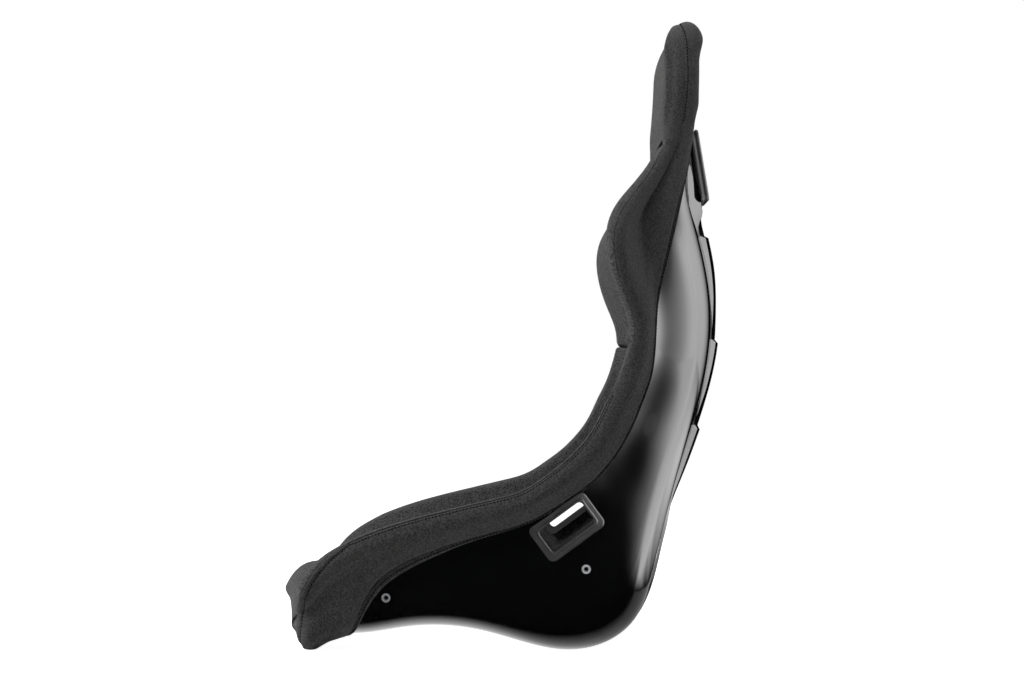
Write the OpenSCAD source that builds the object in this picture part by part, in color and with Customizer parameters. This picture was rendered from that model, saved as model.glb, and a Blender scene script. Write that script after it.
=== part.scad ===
// Bucket seat: a moulded shell of five bonded panels, upholstered rim and five harness openings.
// Millimetres. The seat stands on the floor and faces -Y; +Z is up and +X is the
// occupant's left. The origin lies on the floor, at the middle of the seat's outline.

/* [Shell] */
// Thickness of the moulded shell
shell_t = 4; // [3:0.5:5]
// Half width over the flat walls that take the side mounts
hip_half = 207; // [200:1:212]
// How far the shell's rim leans out past its wall at the shoulders, as a share of the usual lean
shoulder_flare = 1; // [0.7:0.05:1.1]
// Height of the step at the top of each scale on the back
scale_step = 5; // [2:0.5:7]

/* [Padding] */
// Foam and cover on the outside of the rim
rim_pad = 13; // [9:1:16]
// Foam on the inside of the side walls
side_foam = 30; // [20:1:36]
// Extra padding under the front corners
foot_pad = 13; // [10:1:16]
// Thickness of the seat cushion
seat_foam = 38; // [26:1:44]
// Thickness of the back and lumbar cushions
back_foam = 34; // [24:1:40]
// Crown of the headrest pad in front of its rim
head_crown = 6; // [4:1:12]

/* [Side mounts] */
// Distance between the two threaded inserts of one side
mount_pitch = 290; // [280:1:300]
// Tilt of the line through the two inserts, in degrees
mount_tilt = 9.5; // [6:0.5:12]
// Core hole of the M8 thread in each insert
insert_bore = 6.8; // [6.6:0.1:7]

/* [Harness openings] */
// Length of each lap belt opening
lap_len = 75; // [60:1:78]
// Height of each lap belt opening
lap_high = 38; // [30:1:42]
// Width of each shoulder belt opening
shoulder_wide = 76; // [60:1:78]
// Height of each shoulder belt opening
shoulder_high = 84; // [70:1:88]
// Width of the crotch strap opening
crotch_wide = 70; // [55:1:76]
// Length of the crotch strap opening
crotch_long = 36; // [28:1:42]

/* [Hidden] */
$fn = 48;

shell_color = [0.03, 0.03, 0.035];
fabric_color = [0.12, 0.12, 0.13];
foam_cover_color = [0.16, 0.16, 0.17];
trim_color = [0.05, 0.05, 0.055];
metal_color = [0.62, 0.63, 0.65];

// ---- Stations along the seat, from the front edge over the hips to the top of the head ----
// Each row: the outer skin at the middle (y, z), the shell's rim (y, z), half widths at the
// crease, the wall and the rim, rise of the floor's middle, height of the spine, and how
// far the middle runs ahead of the sides.
head_half = 132;
stations = [
    [-266,  20, -268,  80, 130, hip_half - 11, hip_half +  7, 40,  0, 41],
    [-226,  17, -242, 116, 132, hip_half -  6, hip_half + 12, 29,  0, 28],
    [-178,  19, -202, 143, 134, hip_half -  2, hip_half + 14, 17,  0, 15],
    [-122,  29, -152, 164, 136, hip_half,      hip_half + 15,  8,  0,  6],
    [ -64,  32,  -98, 181, 138, hip_half,      hip_half + 15,  3,  0,  1],
    [  -7,  24,  -46, 195, 138, hip_half,      hip_half + 15,  0,  0,  0],
    [  50,   9,    0, 207, 136, hip_half,      hip_half + 16,  0,  0,  0],
    [ 108,   0,   40, 219, 130, hip_half,      hip_half + 17,  0,  0,  0],
    [ 166,  12,   72, 238, 122, hip_half,      hip_half + 16,  0,  0,  0],
    [ 211,  51,   97, 264, 114, hip_half,      hip_half + 15,  0,  1,  0],
    [ 233, 115,  122, 293, 108, hip_half +  1, hip_half + 14,  0,  3,  0],
    [ 249, 190,  146, 323, 105, hip_half +  2, hip_half + 14,  0,  6,  0],
    [ 266, 260,  165, 354, 105, hip_half +  4, hip_half + 16,  0, 10,  0],
    [ 284, 325,  180, 385, 105, hip_half +  6, hip_half + 20,  0, 12,  0],
    [ 300, 388,  192, 417, 105, hip_half +  9, hip_half +  9 + 20 * shoulder_flare, 0, 12, 0],
    [ 309, 450,  200, 452, 105, hip_half + 11, hip_half + 11 + 28 * shoulder_flare, 0, 11, 0],
    [ 309, 510,  195, 492, 106, hip_half + 12, hip_half + 12 + 39 * shoulder_flare, 0, 12, 0],
    [ 300, 568,  178, 535, 108, hip_half + 10, hip_half + 10 + 49 * shoulder_flare, 0, 15, 0],
    [ 285, 625,  166, 586, 112, hip_half +  1, hip_half +  1 + 60 * shoulder_flare, 0, 19, 0],
    [ 272, 676,  175, 634, 120, hip_half - 17, hip_half - 17 + 60 * shoulder_flare, 0, 20, 0],
    [ 272, 725,  210, 686, 126, hip_half - 39, hip_half - 39 + 40 * shoulder_flare, 0, 10, 0],
    [ 276, 775,  242, 748, 118, head_half + 18, head_half + 34, 0,  3,  0],
    [ 276, 824,  254, 807, 106, head_half +  7, head_half + 14, 0,  0,  0],
    [ 276, 873,  259, 863,  92, head_half,      head_half +  4, 0,  0,  0],
    [ 273, 919,  260, 913,  88, head_half -  2, head_half,      0,  0,  0]
];
last = len(stations) - 1;
// The head's half width closes in towards its top like part of an oval
head_round_from = 22.2;
head_round_over = 2.4;
head_round_power = 2.2;

// ---- Smooth curves ----
// Point at u on a smooth curve led by the list c; past both ends it runs on straight
function along(c, u) =
    let (n = len(c) - 1)
    u <= 0 ? c[0] + u * (c[1] - c[0]) :
    u >= n ? c[n] + (u - n) * (c[n] - c[n - 1]) :
    let (
        i = floor(u),
        f = u - i,
        before = i == 0 ? 2 * c[0] - c[1] : c[i - 1],
        after = i == n - 1 ? 2 * c[n] - c[n - 1] : c[i + 2]
    )
    (pow(1 - f, 3) * before + (3 * pow(f, 3) - 6 * f * f + 4) * c[i]
        + (3 * (f + f * f - pow(f, 3)) + 1) * c[i + 1] + pow(f, 3) * after) / 6;
// Leading points whose curve passes through every point of p
function guide(p, c, rounds = 14) =
    rounds == 0 ? c :
    guide(p, [for (i = [0:len(p) - 1]) c[i] + p[i] - along(c, i)], rounds - 1);
path = guide(stations, stations);
function clamp(v) = min(1, max(0, v));
function ease(v) = let (c = clamp(v)) c * c * (3 - 2 * c);
// Quarter-round from 0 at the edge to 1 at the distance r from it
function round_in(m, r) = let (c = clamp(m / r)) sqrt(1 - (1 - c) * (1 - c));

// ---- The shell's outer skin ----
// s runs along the stations. t runs across: 0 at the middle, 1 at the crease, 2 at the rim,
// and past 2 straight on from the rim, 100 mm for each 1.
past_rim = 100;
function narrowing(s) =
    pow(1 - pow(min(0.999, clamp((s - head_round_from) / head_round_over)), head_round_power),
        1 / head_round_power);
function wall_guide(b, w, r, h) =
    let (low = ease((200 - h) / 80), lean = (r - w) * (0.1 + 0.34 * low))
    [[b, 0], [b + 0.5 * (w - b), 0], [w - 0.06 * (w - b), 0.16 * h], [w, 0.36 * h],
     [w + 0.3 * lean * low, 0.61 * h], [w + lean, 0.82 * h], [r, h]];
function across(b, w, r, h, crown, t) =
    t <= 1 ? [b * t, crown * (1 - pow(t, 4))] :
    let (
        c = wall_guide(b, w, r, h),
        lean = c[6] - c[5],
        // Where the wall is low, as beside the head, the padding runs on straight forward
        d = [lean[0] * (1 - 0.9 * ease((60 - h) / 30)), lean[1]]
    )
    t <= 2 ? along(c, 6 * (t - 1)) : c[6] + (t - 2) * past_rim * d / norm(d);
// Skin point from a row of station values v, whose s is given for the narrowing of the head
function skin(v, s, t) =
    let (
        a = abs(t),
        run = [v[2] - v[0], v[3] - v[1]],
        h = norm(run),
        g = across(v[4], v[5], v[6], h, v[7], a),
        x = g[0] * narrowing(s),
        ahead = v[9] * pow(max(0, 1 - pow(x / v[5], 2)), 2.2)
    )
    [sign(t) * x, v[0] + run[0] / h * g[1] - ahead, v[1] + run[1] / h * g[1]];
// Unit normal that points out of the shell
probe = 0.002;
function outward(s, t, v, v_before, v_after) =
    let (
        over = skin(v, s, t + probe) - skin(v, s, t - probe),
        ahead = skin(v_after, s + probe, t) - skin(v_before, s - probe, t),
        n = cross(ahead, over)
    )
    n / norm(n);

// ---- Relief of the back: the spine and three scales, each highest at its top ----
scales = [[11, 13.06], [13.15, 15.1], [15.2, 17.7]];
scale_fall = 0.08;
function scale_rise(s, k) =
    let (a = scales[k][0], b = scales[k][1])
    s <= a ? 0 : s <= b ? pow((s - a) / (b - a), 1.2) : clamp(1 - (s - b) / scale_fall);
function relief(v, s, t) =
    let (a = abs(t))
    v[8] * ease((1 - a) / 0.16)
        + scale_step * ease((0.84 - a) / 0.1) * max([for (k = [0:2]) scale_rise(s, k)]);

// Rows of points over the skin; off(s, t) gives how far each stands out from it
function sheet_of(rows, cols, off) =
    [for (s = rows)
        let (v = along(path, s), v0 = along(path, s - probe), v1 = along(path, s + probe))
        [for (t = cols) skin(v, s, t)
            + (off(s, t) + relief(v, s, t)) * outward(s, t, v, v0, v1)]];

// Closed solid between an outer and an inner sheet of the same rows and columns
module between(outer, inner) {
    n = len(outer);
    m = len(outer[0]);
    half = n * m;
    points = concat([for (row = outer) each row], [for (row = inner) each row]);
    faces = [
        for (i = [0:n - 2], j = [0:m - 2])
            let (a = i * m + j)
            each [[a, a + 1, a + m + 1], [a, a + m + 1, a + m],
                  [half + a, half + a + m + 1, half + a + 1], [half + a, half + a + m, half + a + m + 1]],
        for (i = [0:n - 2])
            let (a = i * m, b = i * m + m - 1)
            each [[a, a + m, half + a], [half + a, a + m, half + a + m],
                  [b, half + b, b + m], [half + b, half + b + m, b + m]],
        for (j = [0:m - 2])
            let (a = j, b = (n - 1) * m + j)
            each [[a, half + a, a + 1], [half + a, half + a + 1, a + 1],
                  [b, b + 1, half + b], [half + b, b + 1, half + b + 1]]
    ];
    polyhedron(points, faces, convexity = 10);
}
function steps(a, b, n) = [for (i = [0:n]) a + (b - a) * i / n];
function both_sides(half) = concat([for (i = [len(half) - 1:-1:1]) -half[i]], half);

// ---- Where the padding lies ----
rim_over = 0.15;      // how far the padding runs past the rim, as a t beyond 2
head_more = 0.18;     // and how much further beside the head
function rim_over_at(s) = rim_over + head_more * ease((s - 20.5) / 1.6) * (1 - ease((s - 23.4) / 1.1));
past_steps = [0.4, 0.8, 1];
function past_t(s, k) = 2 + past_steps[k] * rim_over_at(s);
front_over = 0.5;     // and past the front edge, as an s before 0
head_over = 0.36;     // and past the top edge of the head
front_end = -front_over;
head_end = last + head_over;
neck = 20.93;         // the side covers end here and the head cover begins
waist = 14.9;         // the base bolsters end here and the wing pads begin
head_pad_from = 21.1; // the wing pads end here and the head pad begins
skin_gap = 0.8;       // room between the padding and the shell
half_gap = 0.4;       // from the middle of the rim's edge to the padding on each side of it
rim_radius = 26;
function rim_radius_at(s) = rim_radius * (1 - 0.5 * ease(s - 21));
nose_radius = 30;
station_run = 38;     // distance between two stations at both ends of the seat

// Edge of the cover on the outside of the shell, as a t at every station
cover_edge = guide_list([
    0.78, 0.92, 1.42, 1.65, 1.74, 1.81, 1.85, 1.875, 1.88, 1.86, 1.82, 1.78, 1.75,
    1.75, 1.76, 1.80, 1.76, 1.61, 1.44, 1.27, 1.12, 0.98, 0.9, 0.9, 0.9]);
function guide_list(p) = guide(p, p);
function edge_t(s) = along(cover_edge, s);
// Width of the sewn hem along that edge
hem_widths = [15, 15, 14, 13, 11, 6, 4, 4, 4, 4, 4, 4, 4, 4, 4, 4, 4, 5, 7, 9, 9, 9, 9, 9, 9];
function hem_width(s) = along(hem_widths, s);
// Length of the side from crease to rim
function side_run(s) =
    let (v = along(path, s))
    norm([v[2] - v[0], v[3] - v[1]]) + 0.6 * (v[5] - v[4]);
// Distance from the padding's edge past the rim, and from its two ends
function from_rim(s, t) =
    t > 2 ? (2 + rim_over_at(s) - t) * past_rim : rim_over_at(s) * past_rim + (2 - t) * side_run(s);
function from_front(s) = (s - front_end) * station_run;
function from_top(s) = (head_end - s) * station_run;
function end_round(s) = round_in(from_front(s), nose_radius) * round_in(from_top(s), nose_radius);
// Padding on the walls, and under the front corners, on which the seat rests
foot_bulge = 16.5;    // extra on the foot's outer corner
function cover_thick(s, t) =
    let (foot = ease((1.5 - s) / 1.4), under = 3 + foot_pad * foot)
    under + (rim_pad - 2 - under) * ease((t - 1.12 - 0.2 * foot) / 0.35)
        + foot_bulge * foot * ease((t - 1.16) / 0.16) * ease((1.55 - t) / 0.2);

// Sheets against the shell: outside it, inside it, and beyond its edges
function beyond(s, t) = abs(t) > 2 || s < 0 || s > last;
function outside_sheet(s, t) = beyond(s, t) ? half_gap - shell_t / 2 : skin_gap;
function inside_sheet(s, t) = beyond(s, t) ? -half_gap - shell_t / 2 : -shell_t - skin_gap;
least = 1;            // thickness left at an edge that closes
cloth_t = 2;          // cloth and its backing, where there is no foam
foam_run = 45;        // distance from the hem over which the foam reaches its thickness
hem_foam = 0.1;       // how far it has got at the hem, as a share of that distance

function cover_off(s, t) =
    let (
        lift = ease((t - edge_t(s)) * side_run(s) / foam_run + hem_foam),
        thick = cloth_t + cover_thick(s, t) * lift
    )
    outside_sheet(s, t) + least + thick * round_in(from_rim(s, t), rim_radius_at(s)) * end_round(s);

// Rows and columns of the shell's sheets
shell_rows = concat(
    steps(0, 10.5, 21), steps(11, 13.06, 4), steps(13.15, 15.1, 4), steps(15.2, 17.7, 5),
    [17.78], steps(18, 22, 8), steps(22.4, 24, 4));
middle_cols = both_sides([0, 0.35, 0.66, 0.76, 0.84, 0.92, 1]);
side_cols = steps(1, 2, 10);
// The panels of the shell meet at the creases and at these stations
floor_top = 9;
head_start = 20;
function rows_from(a, b) = [for (s = shell_rows) if (s >= a && s <= b) s];
// The same stations between two others, so that the padding's facets lie along the shell's
function rows_between(a, b) = concat([a], rows_from(a + 0.2, b - 0.2), [b]);

module panel(rows, cols) {
    between(
        sheet_of(rows, cols, function(s, t) 0),
        sheet_of(rows, cols, function(s, t) -shell_t));
}

// ---- Harness openings ----
lap_y = 104;
lap_z = 185;
lap_tilt = 37.5;
lap_flange = 11.5;
lap_round = 6;
sleeve = 2;
trim_t = 3;
shoulder_y = 285;
shoulder_z = 717;
shoulder_lean = 10.5;
shoulder_x = 62;
shoulder_flange = 12;
shoulder_stand = 12;
crotch_y = -42;
crotch_flange = 9;
through = 130;
shell_room = 0.3;     // around a sleeve where it passes the shell
foam_room = 0.5;      // and where it passes the foam

module rounded(long, high, r) {
    square([long - 2 * r, high], center = true);
    square([long, high - 2 * r], center = true);
    for (a = [-1, 1], b = [-1, 1])
        translate([a * (long / 2 - r), b * (high / 2 - r)]) circle(r);
}
// Flat ring around an opening; it lies on z = 0 and grows upwards
module ring(long, high, r, grow, t) {
    linear_extrude(t) difference() {
        rounded(long + 2 * grow, high + 2 * grow, r + grow * 0.5);
        rounded(long, high, r);
    }
}
// Local frames of the openings: z points out of the shell
lap_lean = 2;         // follows the wall, which leans out a little towards the rim
lap_wall = 2;         // the wall at the opening's middle, past the flat part
module at_lap(out) {
    translate([hip_half + lap_wall, lap_y, lap_z]) rotate([lap_tilt, 0, 0]) rotate([90, 0, 90])
        rotate([lap_lean, 0, 0]) translate([0, 0, out]) children();
}
module at_shoulder(out) {
    translate([shoulder_x, shoulder_y, shoulder_z]) rotate([shoulder_lean, 0, 0])
        translate([0, out, 0]) rotate([-90, 0, 0]) children();
}
crotch_floor = 32;
crotch_slope = -8;
module at_crotch(out) {
    translate([0, crotch_y, crotch_floor]) rotate([180 + crotch_slope, 0, 0])
        translate([0, 0, out]) children();
}
module lap_hole(grow, long = through) {
    at_lap(-long / 2) linear_extrude(long)
        rounded(lap_len + 2 * grow, lap_high + 2 * grow, lap_round + grow * 0.5);
}
module shoulder_hole(grow, long = through) {
    at_shoulder(-long / 2) linear_extrude(long)
        rounded(shoulder_wide + 2 * grow, shoulder_high + 2 * grow, lap_round + grow * 0.5);
}
module crotch_hole(grow, long = through) {
    at_crotch(-long / 2) linear_extrude(long)
        rounded(crotch_wide + 2 * grow, crotch_long + 2 * grow, lap_round + grow * 0.5);
}

// ---- Side mounts ----
mount_y = -10;
mount_z = 101;
mount_run = [mount_pitch / 2 * cos(mount_tilt), mount_pitch / 2 * sin(mount_tilt)];
barrel_r = 5;
barrel_room = 0.2;
flange_r = 6.5;
flange_t = 1.5;
insert_len = 14;
base_r = 20;
base_t = 2.5;
module at_mount(side) {
    translate([0, mount_y + side * mount_run[0], mount_z + side * mount_run[1]])
        rotate([0, 90, 0]) children();
}
module mount_holes(r) {
    for (side = [-1, 1]) at_mount(side) cylinder(r = r, h = hip_half + 30);
}

// ---- Nodes ----
module shell_floor() {
    color(shell_color) difference() {
        panel(rows_from(0, floor_top), middle_cols);
        crotch_hole(sleeve + shell_room);
    }
}
module shoulder_holes() {
    for (m = [0, 1]) mirror([m, 0, 0]) shoulder_hole(sleeve + shell_room);
}
module shell_back() {
    color(shell_color) difference() {
        panel(rows_from(floor_top, head_start), middle_cols);
        shoulder_holes();
    }
}
module shell_head() {
    color(shell_color) difference() {
        panel(rows_from(head_start, last), middle_cols);
        shoulder_holes();
    }
}
module shell_side() {
    difference() {
        panel(shell_rows, side_cols);
        lap_hole(sleeve + shell_room);
        mount_holes(barrel_r + barrel_room);
    }
}
module shell_side_left() {
    color(shell_color) shell_side();
}
module shell_side_right() {
    color(shell_color) mirror([1, 0, 0]) shell_side();
}

cover_rows = concat(
    [-0.5, -0.44, -0.32, -0.12, 0.15, 0.5, 0.85, 1.15, 1.4, 1.65, 2, 2.5],
    steps(3.3, 20, 16), [20.6, neck]);
hem_gap = 1;          // between the hem and the cover's foam
module cover_side() {
    share = [0, 0.1, 0.22, 0.36, 0.52, 0.7, 0.87, 1];
    n = len(share);
    cols = n + len(past_steps);
    function t_at(s, k) =
        let (a = edge_t(s) + (hem_width(s) + hem_gap) / side_run(s))
        k < n ? a + (2 - a) * share[k] : past_t(s, k - n);
    // The foot rests on the floor, so nothing goes below it
    function above(p) = [p[0], p[1], max(p[2], 0)];
    function row(s, off) = [
        for (p = sheet_of([s], [for (k = [0:cols - 1]) t_at(s, k)], off)[0]) above(p)];
    function sheet(off) = [for (s = cover_rows) row(s, off)];
    difference() {
        between(sheet(function(s, t) cover_off(s, t)), sheet(function(s, t) outside_sheet(s, t)));
        lap_seat();
    }
}
// Cut in the cloth for the flange of a lap opening's trim
seat_room = 0.5;
seat_round = 12;
module lap_seat() {
    grow = 2 * (lap_flange + seat_room);
    at_lap(-5) linear_extrude(40) rounded(lap_len + grow, lap_high + grow, seat_round);
}
module cover_left() {
    color(fabric_color) cover_side();
}
module cover_right() {
    color(fabric_color) mirror([1, 0, 0]) cover_side();
}

// Under the front edge, between the feet of the side covers
module cover_front() {
    half = 0.66;
    function off(s, t) =
        outside_sheet(s, t) + least + 8 * round_in(from_front(s), nose_radius)
            * ease((0.8 - s) / 0.5) * ease((half + 0.1 - abs(t)) / 0.3);
    rows = [-0.5, -0.42, -0.25, 0, 0.3, 0.65];
    cols = steps(-half, half, 10);
    color(fabric_color) between(
        sheet_of(rows, cols, function(s, t) off(s, t)),
        sheet_of(rows, cols, function(s, t) outside_sheet(s, t)));
}

// Around the back, the sides and the top of the head
head_rows = concat([neck + 0.03, 21.2], steps(21.6, 24, 6), [24.16, 24.28, 24.36]);
head_past = [0.25, 0.6, 0.85, 1];
function head_cols(s) = both_sides(concat(
    [0, 0.5, 1, 1.3, 1.6, 2], [for (k = head_past) 2 + k * rim_over_at(s)]));
module cover_head() {
    back_t = 2;
    more = rim_pad - 4;
    top_t = 9;
    function thick(side, top) = back_t + more * side + top_t * top + more * (1 - side) * top;
    function off(s, t) =
        outside_sheet(s, t) + least
            + thick(ease((abs(t) - 0.9) / 0.4), ease(s - 22.9))
                * round_in(from_rim(s, abs(t)), rim_radius_at(s)) * round_in(from_top(s), nose_radius);
    function sheet(off) = [for (s = head_rows) sheet_of([s], head_cols(s), off)[0]];
    color(fabric_color) between(
        sheet(function(s, t) off(s, t)), sheet(function(s, t) outside_sheet(s, t)));
}

// Sewn hem between the side cover and the bare shell
hem_t = 2.2;
hem_rows = concat([0.2], steps(0.6, 2.4, 6), steps(3, 21, 18));
module hem_side() {
    function sheet(off) = [
        for (s = hem_rows)
            let (a = edge_t(s), w = hem_width(s) / side_run(s))
            sheet_of([s], [a, a + w], function(s, t) off)[0]];
    difference() {
        between(sheet(skin_gap + hem_t), sheet(skin_gap));
        lap_seat();
    }
}
module hem_left() {
    color(fabric_color) hem_side();
}
module hem_right() {
    color(fabric_color) mirror([1, 0, 0]) hem_side();
}

// ---- Foam inside the shell ----
// Lower edge of the side foam and, a little before it, the edge of the middle cushions
function foam_from(s) = 1.34 - 0.16 * ease((s - 8) / 4);
function cushion_to(s) = foam_from(s) - 0.05;
function side_thick(s) = side_foam * (1 - 0.45 * ease((s - 18.5) / 2));
rim_slim = 0.6;       // share of the side foam that is gone again at the rim
inner_rim_radius = 12;
foot_radius = 18;
function side_off(s, t) =
    let (
        in = (t - foam_from(s)) * side_run(s),
        swell = (0.8 + 0.2 * ease(in / 60)) * (1 - rim_slim * ease((t - 1.5) / 0.45))
    )
    inside_sheet(s, t) - least - side_thick(s) * swell * round_in(in + 1, foot_radius)
        * round_in(from_rim(s, t), inner_rim_radius) * end_round(s);
// How the columns of facets are shared out between the pad's lower edge and the rim
bolster_share = [0, 0.06, 0.2, 0.45, 0.75, 1];
wing_share = [0, 0.06, 0.18, 0.32, 0.45, 0.56, 0.67, 0.78, 0.89, 1];
module side_pad(rows, share) {
    n = len(share);
    cols = n + len(past_steps);
    function t_at(s, k) = k < n ? foam_from(s) + (2 - foam_from(s)) * share[k] : past_t(s, k - n);
    function sheet(off) = [for (s = rows) sheet_of([s], [for (k = [0:cols - 1]) t_at(s, k)], off)[0]];
    between(sheet(function(s, t) inside_sheet(s, t)), sheet(function(s, t) side_off(s, t)));
}
bolster_rows = concat([-0.3, -0.15, 0.1, 0.5, 1, 1.6], steps(2.5, waist - 0.05, 12));
// Square pockets in the foam leave room for the inserts
pocket = base_r + 1;
module bolster() {
    difference() {
        side_pad(bolster_rows, bolster_share);
        lap_hole(sleeve + foam_room);
        for (side = [-1, 1]) at_mount(side)
            translate([-pocket, -pocket, hip_half - insert_len - 2]) cube([2 * pocket, 2 * pocket, 30]);
    }
}
module bolster_left() {
    color(foam_cover_color) bolster();
}
module bolster_right() {
    color(foam_cover_color) mirror([1, 0, 0]) bolster();
}
wing_rows = rows_between(waist + 0.05, head_pad_from - 0.07);
module wing_pad_left() {
    color(foam_cover_color) side_pad(wing_rows, wing_share);
}
module wing_pad_right() {
    color(foam_cover_color) mirror([1, 0, 0]) side_pad(wing_rows, wing_share);
}

// A cushion on the shell's inside, from one station to another
cushion_round = 22;
function cushion_off(s, t, from, to, thick, nose) =
    let (
        side = (cushion_to(s) - abs(t)) * 110,
        ends = min((s - from) * station_run * 1.5, (to - s) * station_run * 1.5),
        crown = 1 + 0.1 * (1 - t * t)
    )
    inside_sheet(s, t) - least - thick * crown * round_in(side + 2, cushion_round)
        * (nose ? round_in(from_front(s), nose_radius) * round_in((to - s) * station_run + 2, cushion_round)
            : round_in(ends + 2, cushion_round));
module cushion(from, to, n, thick, nose = false, half = [0, 0.4, 0.75, 0.92, 1]) {
    ease_in = [0, 0.12, 0.35];
    rows = nose
        ? concat([-0.5, -0.4, -0.25, -0.1], steps(0, to - 0.3, n), [to - 0.1, to])
        : concat([for (k = ease_in) from + k], steps(from + 0.7, to - 0.7, n),
            [for (k = [2:-1:0]) to - ease_in[k]]);
    function sheet(off) = [
        for (s = rows)
            sheet_of([s], [for (k = both_sides(half)) k * cushion_to(s)], off)[0]];
    between(
        sheet(function(s, t) inside_sheet(s, t)),
        sheet(function(s, t) cushion_off(s, t, from, to, thick, nose)));
}
module leg_cushion() {
    color(foam_cover_color) cushion(0, 2.2, 4, seat_foam, true, [0, 0.2, 0.4, 0.6, 0.8, 0.93, 1]);
}
module seat_cushion() {
    color(foam_cover_color) difference() {
        cushion(2.3, 8.2, 5, seat_foam);
        crotch_hole(sleeve + foam_room);
    }
}
module lumbar_cushion() {
    color(foam_cover_color) cushion(8.4, 12.3, 4, back_foam);
}
module back_cushion() {
    color(foam_cover_color) cushion(12.4, 18.5, 5, back_foam);
}

// Headrest pad: a crowned front from rim to rim over the shell's hollow
head_run = 49;        // distance between two stations at the neck
neck_radius = 16;
module head_pad() {
    rows = concat(
        [head_pad_from, head_pad_from + 0.1, 21.3, 21.65], steps(22.2, 24, 4), [24.16, 24.28, 24.36]);
    function front(s) =
        let (
            v = along(path, s),
            run = [v[2] - v[0], v[3] - v[1]] / norm([v[2] - v[0], v[3] - v[1]]),
            sunk = function(s, t) -half_gap - least - shell_t / 2,
            edge = sheet_of([s], [2 + rim_over_at(s)], sunk)[0][0],
            from_neck = (s - head_pad_from) * head_run + 1,
            ends = round_in(from_neck, neck_radius) * round_in(from_top(s), nose_radius)
        )
        [for (t = head_cols(s))
            let (
                a = t / abs(t == 0 ? 1 : t) * min(1, skin(v, s, abs(t))[0] / edge[0]),
                lift = head_crown * pow(1 - pow(abs(a), 2.4), 0.8) * ends
            )
            [a * edge[0], edge[1] + run[0] * lift, edge[2] + run[1] * lift]];
    color(foam_cover_color) between(
        [for (s = rows) sheet_of([s], head_cols(s), function(s, t) inside_sheet(s, t))[0]],
        [for (s = rows) front(s)]);
}

// ---- Trims of the harness openings ----
module lap_trim() {
    at_lap(0) {
        ring(lap_len, lap_high, lap_round, lap_flange, trim_t);
        translate([0, 0, -8]) ring(lap_len, lap_high, lap_round, sleeve, 9);
        translate([0, 0, trim_t - 0.5]) ring(lap_len, lap_high, lap_round, 3, 1.5);
    }
}
module lap_trim_left() {
    color(trim_color) lap_trim();
}
module lap_trim_right() {
    color(trim_color) mirror([1, 0, 0]) lap_trim();
}
// Duct through the side foam, with a flange on the foam's inside
duct_in = 38;
module lap_liner() {
    at_lap(-duct_in) {
        ring(lap_len, lap_high, lap_round, sleeve, duct_in - 8.5);
        translate([0, 0, -2.5]) ring(lap_len, lap_high, lap_round, 8, 2.5);
    }
}
module lap_liner_left() {
    color(trim_color) lap_liner();
}
module lap_liner_right() {
    color(trim_color) mirror([1, 0, 0]) lap_liner();
}
module shoulder_trim() {
    at_shoulder(0.6) {
        ring(shoulder_wide, shoulder_high, lap_round, shoulder_flange, shoulder_stand);
        translate([0, 0, -8]) ring(shoulder_wide, shoulder_high, lap_round, sleeve, 9);
    }
}
module shoulder_trim_left() {
    color(trim_color) shoulder_trim();
}
module shoulder_trim_right() {
    color(trim_color) mirror([1, 0, 0]) shoulder_trim();
}
module shoulder_liner() {
    at_shoulder(-14)
        ring(shoulder_wide, shoulder_high, lap_round, 10, trim_t);
}
module shoulder_liner_left() {
    color(trim_color) shoulder_liner();
}
module shoulder_liner_right() {
    color(trim_color) mirror([1, 0, 0]) shoulder_liner();
}
module crotch_trim() {
    color(trim_color) at_crotch(0.6) {
        ring(crotch_wide, crotch_long, lap_round, crotch_flange, trim_t);
        translate([0, 0, -6]) ring(crotch_wide, crotch_long, lap_round, sleeve, 7);
    }
}
module crotch_liner() {
    up = seat_foam * 1.1 + 8;
    color(trim_color) at_crotch(-up) {
        ring(crotch_wide, crotch_long, lap_round, sleeve, up - 6.5);
        translate([0, 0, -2.5]) ring(crotch_wide, crotch_long, lap_round, crotch_flange, 2.5);
    }
}

// ---- Threaded inserts: a flanged barrel welded to a base disc inside the wall ----
module insert(side, wall) {
    inside = wall - shell_t - base_t - 0.4;
    at_mount(side) difference() {
        union() {
            translate([0, 0, wall - 0.2]) cylinder(r = flange_r, h = flange_t);
            translate([0, 0, inside]) cylinder(r = base_r, h = base_t);
            translate([0, 0, wall - insert_len]) cylinder(r = barrel_r, h = insert_len);
        }
        cylinder(d = insert_bore, h = hip_half + 30);
    }
}
module insert_front_left() {
    color(metal_color) insert(-1, hip_half - 1);
}
module insert_rear_left() {
    color(metal_color) insert(1, hip_half);
}
module insert_front_right() {
    color(metal_color) mirror([1, 0, 0]) insert(-1, hip_half - 1);
}
module insert_rear_right() {
    color(metal_color) mirror([1, 0, 0]) insert(1, hip_half);
}

shell_floor();
shell_back();
shell_head();
shell_side_left();
shell_side_right();
cover_left();
cover_right();
cover_front();
cover_head();
hem_left();
hem_right();
bolster_left();
bolster_right();
wing_pad_left();
wing_pad_right();
head_pad();
back_cushion();
lumbar_cushion();
seat_cushion();
leg_cushion();
lap_trim_left();
lap_trim_right();
lap_liner_left();
lap_liner_right();
shoulder_trim_left();
shoulder_trim_right();
shoulder_liner_left();
shoulder_liner_right();
crotch_trim();
crotch_liner();
insert_front_left();
insert_rear_left();
insert_front_right();
insert_rear_right();
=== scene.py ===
"""Racing bucket seat: a gloss shell, a padded cloth rim and cushions, harness openings and side mounts.

Two numbers place everything on the shell. s runs along the seat, from the front edge at 0, over the hips,
to the top of the head at 24. t runs across it: 0 at the middle, 1 at the crease, 2 at the rim, and past 2
straight on from the rim, 100 mm for each 1. Sizes are in millimetres until a mesh is made.
"""
import math

import bmesh
import bpy
import numpy as np
from mathutils import Matrix, Vector
from mathutils.bvhtree import BVHTree


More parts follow.
